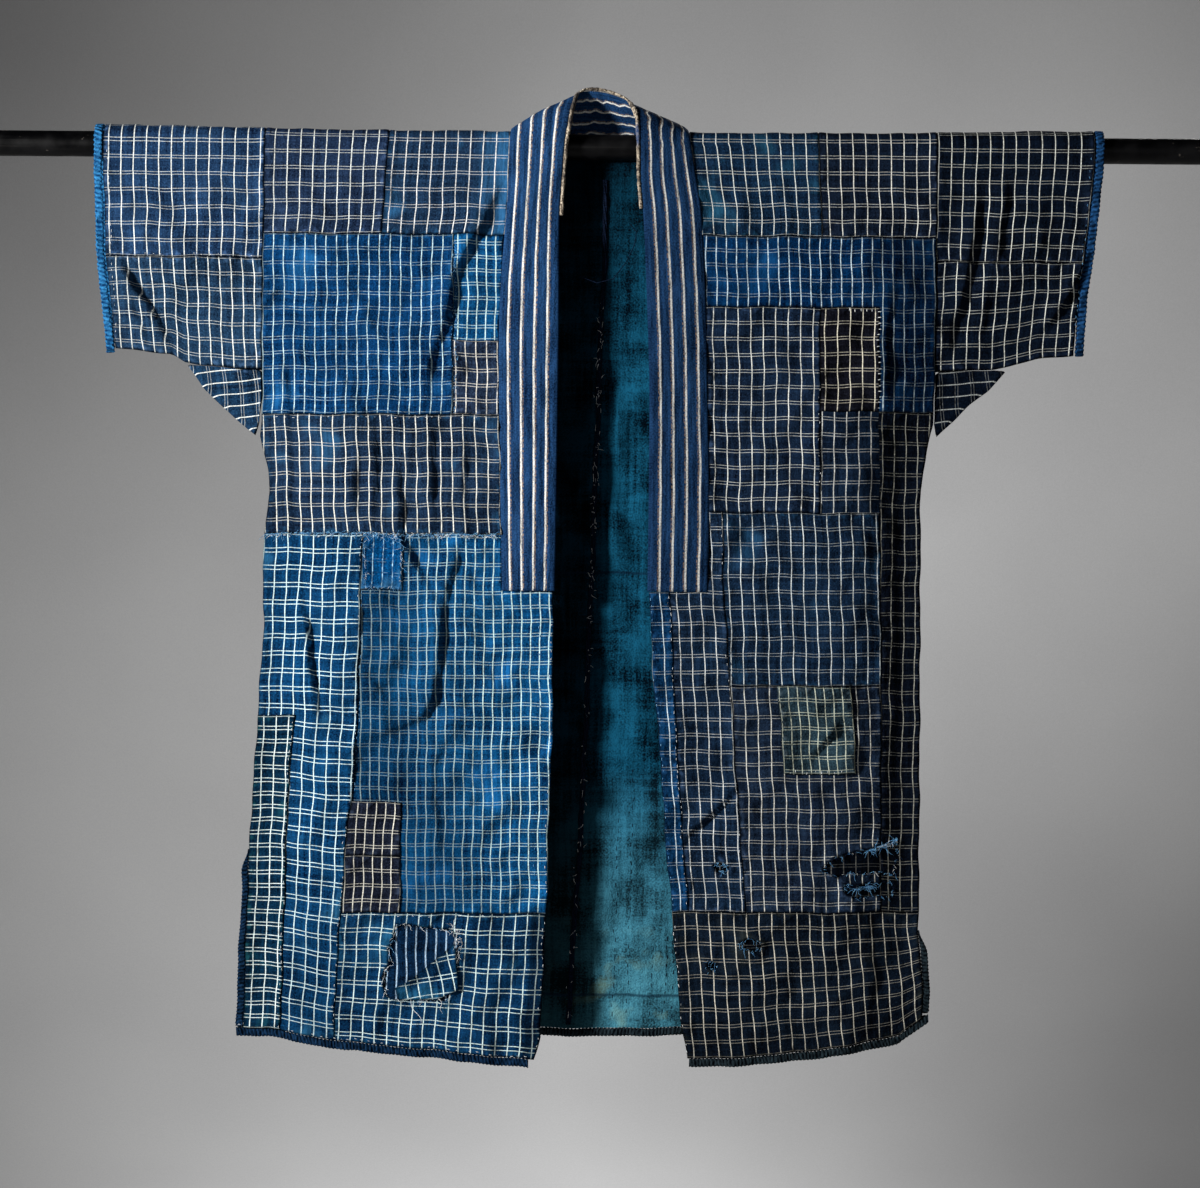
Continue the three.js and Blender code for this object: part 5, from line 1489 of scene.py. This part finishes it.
def make_sleeves(cloth, binding_light, binding_blue):
    make_sleeve(
        "right", RIGHT_SIDE, RIGHT_CUFF,
        [[-490, -196], [-413, -203], [-401, -211], [-386, -214], [-320, -218]],
        [[-386, -214.4], [-356, -216.4], [-325.5, -218.6], [-326, -245], [-327.6, -268]],
        [[-397, -213.5], [-382, -235], [-365, -251], [-349, -265], [-331, -279]],
        "cloth_navy_check", (cloth["sleeve_upper_right"], cloth["sleeve_lower_right"], cloth["gusset_right"]),
        "binding_light", binding_light,
    )
    make_sleeve(
        "left", LEFT_SIDE, LEFT_CUFF,
        [[320, -216], [383, -212], [397, -210], [425, -202], [490, -195]],
        [[383, -212.6], [355, -214.4], [326.5, -216.6], [326.5, -242], [326, -266]],
        [[393, -214], [376, -232], [359, -246], [344, -262], [328, -277]],
        "cloth_dark_check", (cloth["sleeve_left"], cloth["sleeve_left"], cloth["gusset_left"]),
        "binding_blue", binding_blue,
    )


def make_bindings(right, left):
    dark = "binding_dark"
    add_hem("hem_right", FRONT, RIGHT_HEM, -345, -62, dark, right)
    add_hem("hem_left", FRONT, LEFT_HEM, 92, 325, dark, left)
    add_hem("hem_back", BACK, BACK_HEM, -345, 325, dark, left)
    right_edge = [[-682, -342], [-739, -342], [-797, -345], [-900, -346]]
    left_edge = [[-756, 322], [-783, 323], [-812, 325], [-900, 326]]
    for hand, seam, top, outline, front_hem, material in (
        ("right", RIGHT_SIDE, RIGHT_VENT, right_edge, RIGHT_HEM, right),
        ("left", LEFT_SIDE, LEFT_VENT, left_edge, LEFT_HEM, left),
    ):
        add_vent("vent_front_" + hand, FRONT, seam, top, outline, front_hem, dark, material)
        add_vent("vent_back_" + hand, BACK, seam, top, outline, BACK_HEM, dark, material)


def column(line, top, bottom, inset=0.0):
    line = as_line(line)
    heights = np.linspace(top, bottom, 24)
    return [(float(along(line, z)) + inset, float(z)) for z in heights]


def row(z, first, last):
    return [(first, z), (last, z)]


def make_stitches():
    white, dark, blue = (
        Threads("stitches_" + name, slot, plain_thread("thread_" + name, shade, light))
        for name, slot, shade, light in (
            ("pale", "collar_cord", (170, 180, 186), (240, 244, 244)),
            ("dark", "binding_dark", (6, 10, 20), (20, 32, 54)),
            ("blue", "binding_light", (30, 92, 150), (130, 184, 220)),
        )
    )
    on_panel, on_top = STITCH_LIFT, TOP_LIFT + STITCH_LIFT

    # The right front's seams
    for z in (-263.6, -378.5):
        white.run(row(z, -320, -97), pitch=7.2, length=2.6, radius=0.3, skip=0.35)
    dark.run(row(-258.0, -320, -97), pitch=5.2, length=3.0)
    dark.run(row(-373.4, -318, -92), pitch=5.2, length=3.0)
    dark.run(row(-90.5, -320, -142), pitch=5.2, length=3.0)
    dark.run(row(-84.0, -318, -94), on_panel, pitch=5.2, length=3.0)
    white.run(column(RIGHT_SIDE_PATCH, -380, -860, -1.8), pitch=6.6, skip=0.25)
    blue.run(column(RIGHT_SIDE_PATCH, -380, -630, 1.2), 1.2, pitch=5.6, length=3.0, skip=0.3)
    white.run(column(RIGHT_STRIP, -556, -858, -1.6), on_top, pitch=7.0, skip=0.2)
    dark.run(row(-554.5, -329, -294), on_top, length=3.0)
    dark.run(column(-187, -636, -739, -1.4), length=3.2)
    dark.run(row(-688.0, -240, -189), length=3.2)
    dark.run(row(-684.0, -240, -189), length=3.2, shift=2)
    white.run(row(-743.6, -244, -60), pitch=7.4, length=2.6, radius=0.3, skip=0.3)
    white.run(column(RIGHT_OPENING, -746, -878, -2.0), pitch=7.0, skip=0.15)
    white.run(column(RIGHT_OPENING, -436, -738, -2.2), on_panel, pitch=8.0, length=2.4, radius=0.28, skip=0.4)
    blue.run(column(RIGHT_OPENING, -436, -738, -13.0), on_panel, pitch=8.5, length=2.4, radius=0.25, skip=0.5)
    blue.run(column(-140, -92, -258, -1.4), pitch=6.0, length=2.6, skip=0.2)
    dark.run(column(RIGHT_NECK, -92, -428, -1.6), pitch=6.4, skip=0.2)
    hem_line = [[x, z + BINDING_WIDTH + 2.4] for x, z in RIGHT_HEM[:-1]]
    white.run(hem_line, pitch=6.6, length=3.0, skip=0.2)

    # The left front's seams
    dark.run(row(-90.5, 104, 322), pitch=5.2, length=3.0)
    dark.run(row(-84.0, 104, 322), on_panel, pitch=5.2, length=3.0)
    dark.run(row(-157.6, 106, 268))
    white.run(column(LEFT_270, -157, -253, 0.0), radius=0.42, across=3.6, skip=0.05, wobble=0.35)
    white.run(row(-157.2, 238, 268), radius=0.42, across=3.2, skip=0.05)
    white.run(column(LEFT_213, -158, -352, -1.4), pitch=8.0, length=2.2, radius=0.26, skip=0.45)
    dark.run(row(-355.4, 124, 274))
    dark.run(column(LEFT_OVERLAP, -356, -736, 1.6), length=3.0)
    white.run(column(LEFT_OVERLAP, -356, -736, -1.4), pitch=8.2, length=2.2, radius=0.26, skip=0.5)
    white.run(column(LEFT_EDGE_STRIP, -432, -736, -1.2), pitch=5.8, skip=0.15)
    dark.run(column(LEFT_270, -258, -735, 1.6))
    dark.run(row(-522.6, 132, 272))
    for line in (column(LEFT_172, -523, -602, 1.8), column(LEFT_242, -523, -602, -1.8)):
        dark.run(line, on_top, pitch=5.0)
    white.run(row(-602.6, 184, 250), on_top, pitch=6.2, radius=0.3, across=2.6, skip=0.25)
    dark.run(row(-741.0, 92, 314), length=3.0)
    for thread, top, bottom, inset in ((white, -742, -874, 1.2), (blue, -434, -736, 1.4)):
        line = column(LEFT_OPENING, top, bottom, inset)
        thread.run(line, pitch=6.4, radius=0.3, skip=0.2)
    hem_line = [[x, z + BINDING_WIDTH + 2.2] for x, z in LEFT_HEM[1:-1]]
    dark.run(hem_line, pitch=6.0, length=3.0)

    # Sleeves
    for side in (FRONT, BACK):
        dark.run(row(-112.6, -474, -326), on_panel, side, pitch=5.2)
        white.run(row(-107.8, -474, -326), on_panel, side, pitch=8.0, length=2.2, radius=0.26, skip=0.4)
        dark.run(row(-112.6, 328, 470), on_panel, side, pitch=5.2)
        white.run(column([[20, -476], [-197, -466]], -6, -190), on_panel, side, pitch=6.4, length=3.2)
        blue.run(column([[20, 476], [-194, 459]], -6, -188), on_panel, side, pitch=6.4, length=3.0, skip=0.2)
    # The back's centre seam, and the lining's
    for inset in (-1.8, 1.8):
        dark.run(column(CENTRE_SEAM, 2, -850, inset), on_panel, BACK, pitch=6, length=3.0)
    for x in (-236, 236):
        white.run(column(x, -95, -845), on_panel, BACK, pitch=8, length=3.0, radius=0.3, skip=0.2)
    for z in (-300, -560):
        white.run(row(z, -310, 300), on_panel, BACK, pitch=8, length=3.0, radius=0.28, skip=0.3)
    for x, top in ((18, -640), (54, -745), (67, -762), (86, -700), (32, -600), (-60, -100), (76, -380)):
        dark.run([(x + 5, top), (x, -848)], LINING_LIFT - 0.2, BACK, pitch=9, length=4.2, radius=0.34)

    make_frays(white, dark, blue)
    for threads in (white, dark, blue):
        threads.build()


def ragged(points, side, lift, count, longest, seed, closed=True):
    """Where loose ends start along a torn edge, which way they point (mostly along it), and their lengths."""
    rng = np.random.default_rng(seed)
    pts = np.array(points + points[:1] if closed else points, float)
    runs = np.concatenate([[0], np.cumsum(np.hypot(*np.diff(pts, axis=0).T))])
    places = rng.uniform(0, runs[-1] - 0.6, count)
    x, z = (np.interp(places, runs, pts[:, k]) for k in (0, 1))
    ahead = np.stack([np.interp(places + 0.5, runs, pts[:, k]) - v for k, v in ((0, x), (1, z))], -1)
    ahead *= rng.choice([-1, 1], count)[:, None] / (np.linalg.norm(ahead, axis=1, keepdims=True) + 1e-6)
    towards = np.stack([ahead[:, 0], np.zeros(count), ahead[:, 1]], -1) + rng.normal(0, 0.55, (count, 3))
    towards /= np.linalg.norm(towards, axis=1, keepdims=True)
    towards[:, 1] = side * np.abs(towards[:, 1]) * 0.5
    starts = on_wall(x + rng.normal(0, 0.5, count), z + rng.normal(0, 0.5, count), side, lift)
    return starts, towards, rng.uniform(0.25, 1, count) * longest


def add_inner_seam(white, dark):
    """The back seam's turned-in edges, seen inside: a thin twisted roll with some pale threads in it."""
    heights = np.linspace(-30, -852, 260)
    x = along(INNER_SEAM, heights)
    for turn, radius in ((0.0, 1.5), (2.1, 1.2), (4.2, 1.3)):
        sway = turn + heights / 9
        spine_x = x + 1.3 * np.cos(sway) + 0.5 * np.sin(heights / 23)
        y = depth(x, heights, BACK) + LINING_LIFT - 1.2 - 0.8 * np.sin(sway)
        radii = radius * (1 + 0.25 * np.sin(heights / 5 + turn))
        dark.tubes(np.stack([spine_x, y, heights], -1)[None], radii, np.array([[0.0, -1.0, 0.0]]))
    rng = np.random.default_rng(5)
    heights = np.concatenate([rng.uniform(-430, -150, 70), rng.uniform(-840, -430, 45)])
    xs = along(INNER_SEAM, heights) + rng.normal(0, 1.6, len(heights))
    starts = np.stack([xs, depth(xs, heights, BACK) + LINING_LIFT - 2.6, heights], -1)
    turned = rng.normal(0, 1, starts.shape) * (0.4, 0.3, 1.2)
    turned[:, 1] = -np.abs(turned[:, 1]) * 0.4
    turned /= np.linalg.norm(turned, axis=1, keepdims=True)
    white.fray(starts, turned, rng.uniform(2, 6, len(heights)), 0.24, 0.35, 6)


def make_frays(white, dark, blue):
    over = PATCH_LIFT + 1.6
    for threads, line, count, longest, seed in (
        (white, RIGHT_TEAR, 90, 7, 21), (blue, RIGHT_TEAR, 50, 6, 22), (dark, RIGHT_TEAR, 40, 6, 28),
        (blue, LEFT_TEAR, 60, 6, 23), (white, LEFT_TEAR, 26, 5, 24), (dark, LEFT_TEAR, 70, 9, 25),
        (blue, LEFT_TEAR_BELOW, 40, 6, 29), (dark, LEFT_TEAR_BELOW, 40, 7, 30),
    ):
        threads.fray(*ragged(line, FRONT, over, count, longest, seed), radius=0.2, seed=seed + 10)
    for threads, line, count, longest, seed in (
        (blue, [(262, -680), (278, -674), (292, -668)], 60, 9, 60),
        (white, [(268, -678), (290, -669)], 16, 7, 61),
        (blue, [(248, -716), (262, -713), (272, -714)], 44, 8, 62),
        (blue, [(-322, -377), (-260, -375), (-180, -377), (-98, -376)], 330, 7, 63),
        (white, [(-320, -378), (-230, -376), (-98, -378)], 90, 6, 64),
        (blue, [(-138, -258), (-137, -200), (-139, -96)], 80, 5, 65),
        (white, [(-137, -752), (-131, -760), (-130, -775)], 30, 9, 66),
    ):
        ends = ragged(line, FRONT, over, count, longest, seed, closed=False)
        threads.fray(*ends, radius=0.22, seed=seed + 10)
    for i, hole in enumerate(LEFT_HOLES):
        blue.fray(*ragged(hole, FRONT, over, 34, 6, 40 + i), radius=0.2, seed=50 + i)
    worn = [(-225, -379), (-190, -380), (-188, -400), (-190, -428), (-222, -428)]
    blue.fray(*ragged(worn, FRONT, over, 90, 6, 26), radius=0.2, seed=36)
    white.fray(*ragged(worn, FRONT, over, 40, 5, 27), radius=0.18, seed=37)
    # Two long loose ends under the torn corner, and one inside at the back seam
    white.fray([(-176, -24, -824), (-150, -24, -822)], [(0.2, -0.1, -1), (0.6, -0.1, -0.8)], [18, 13], 0.28,
               0.18, 3)
    add_inner_seam(white, dark)
    loose = np.array([[(-19, -2, -125), (-2, -8, -132), (14, -10, -128), (26, -8, -112), (34, -4, -95),
                       (36, -2, -82), (30, 2, -74)]], float)
    dark.tubes(loose, 0.4 * np.ones(7), np.array([[0.1, 1.0, 0.2]]))


def make_stage():
    """A round studio of seamless paper: a plain pale floor that curves up into a wall on all sides."""
    rise = np.linspace(0, math.pi / 2, 20)
    bend = ROOM_RADIUS - ROOM_BEND + ROOM_BEND * np.sin(rise)
    radii = np.concatenate([[0.5, 1.5], bend, [ROOM_RADIUS] * 3])
    heights = np.concatenate([[0, 0], ROOM_BEND * (1 - np.cos(rise)), [2.5, 4.0, 6.5]]) + FLOOR
    turns = np.linspace(0, 2 * math.pi, ROOM_SIDES, endpoint=False)
    points = [(0, 0, FLOOR)]
    points += [(r * math.sin(a), r * math.cos(a), z) for r, z in zip(radii, heights) for a in turns]
    faces = [(0, 1 + (c + 1) % ROOM_SIDES, 1 + c) for c in range(ROOM_SIDES)]
    for ring in range(len(radii) - 1):
        low, high = 1 + ring * ROOM_SIDES, 1 + (ring + 1) * ROOM_SIDES
        faces += [(low + c, low + (c + 1) % ROOM_SIDES, high + (c + 1) % ROOM_SIDES, high + c)
                  for c in range(ROOM_SIDES)]
    mesh = bpy.data.meshes.new("backdrop")
    mesh.from_pydata(points, [], faces)
    mesh.polygons.foreach_set("use_smooth", [True] * len(faces))
    obj = bpy.data.objects.new("backdrop", mesh)
    bpy.context.scene.collection.objects.link(obj)
    mesh.materials.append(studio_paper())


def main():
    add_camera()
    add_lights()
    make_stage()
    cloth = {name: woven("cloth_" + name, *row[:-1], **row[-1]) for name, row in CLOTHS.items()}
    light_binding = thread_work("binding_light", (6, 44, 86), (54, 130, 186), 0.95, pitch=4.6)
    blue_binding = thread_work("binding_blue", (3, 16, 36), (34, 80, 130), 0.85, pitch=4.6)
    hem_right = thread_work("binding_hem_right", (1, 6, 14), (20, 48, 78), 0.9)
    hem_left = thread_work("binding_hem_left", (2, 4, 8), (36, 48, 54), 0.85)
    make_fronts(cloth)
    make_back(cloth, faded_lining())
    make_shoulders(cloth)
    make_sleeves(cloth, light_binding, blue_binding)
    make_bindings(hem_right, hem_left)
    add_collar("collar_stripe", striped_collar())
    add_collar_edge("collar_cord", worn_cord())
    add_rod(painted_rod())
    make_stitches()


main()
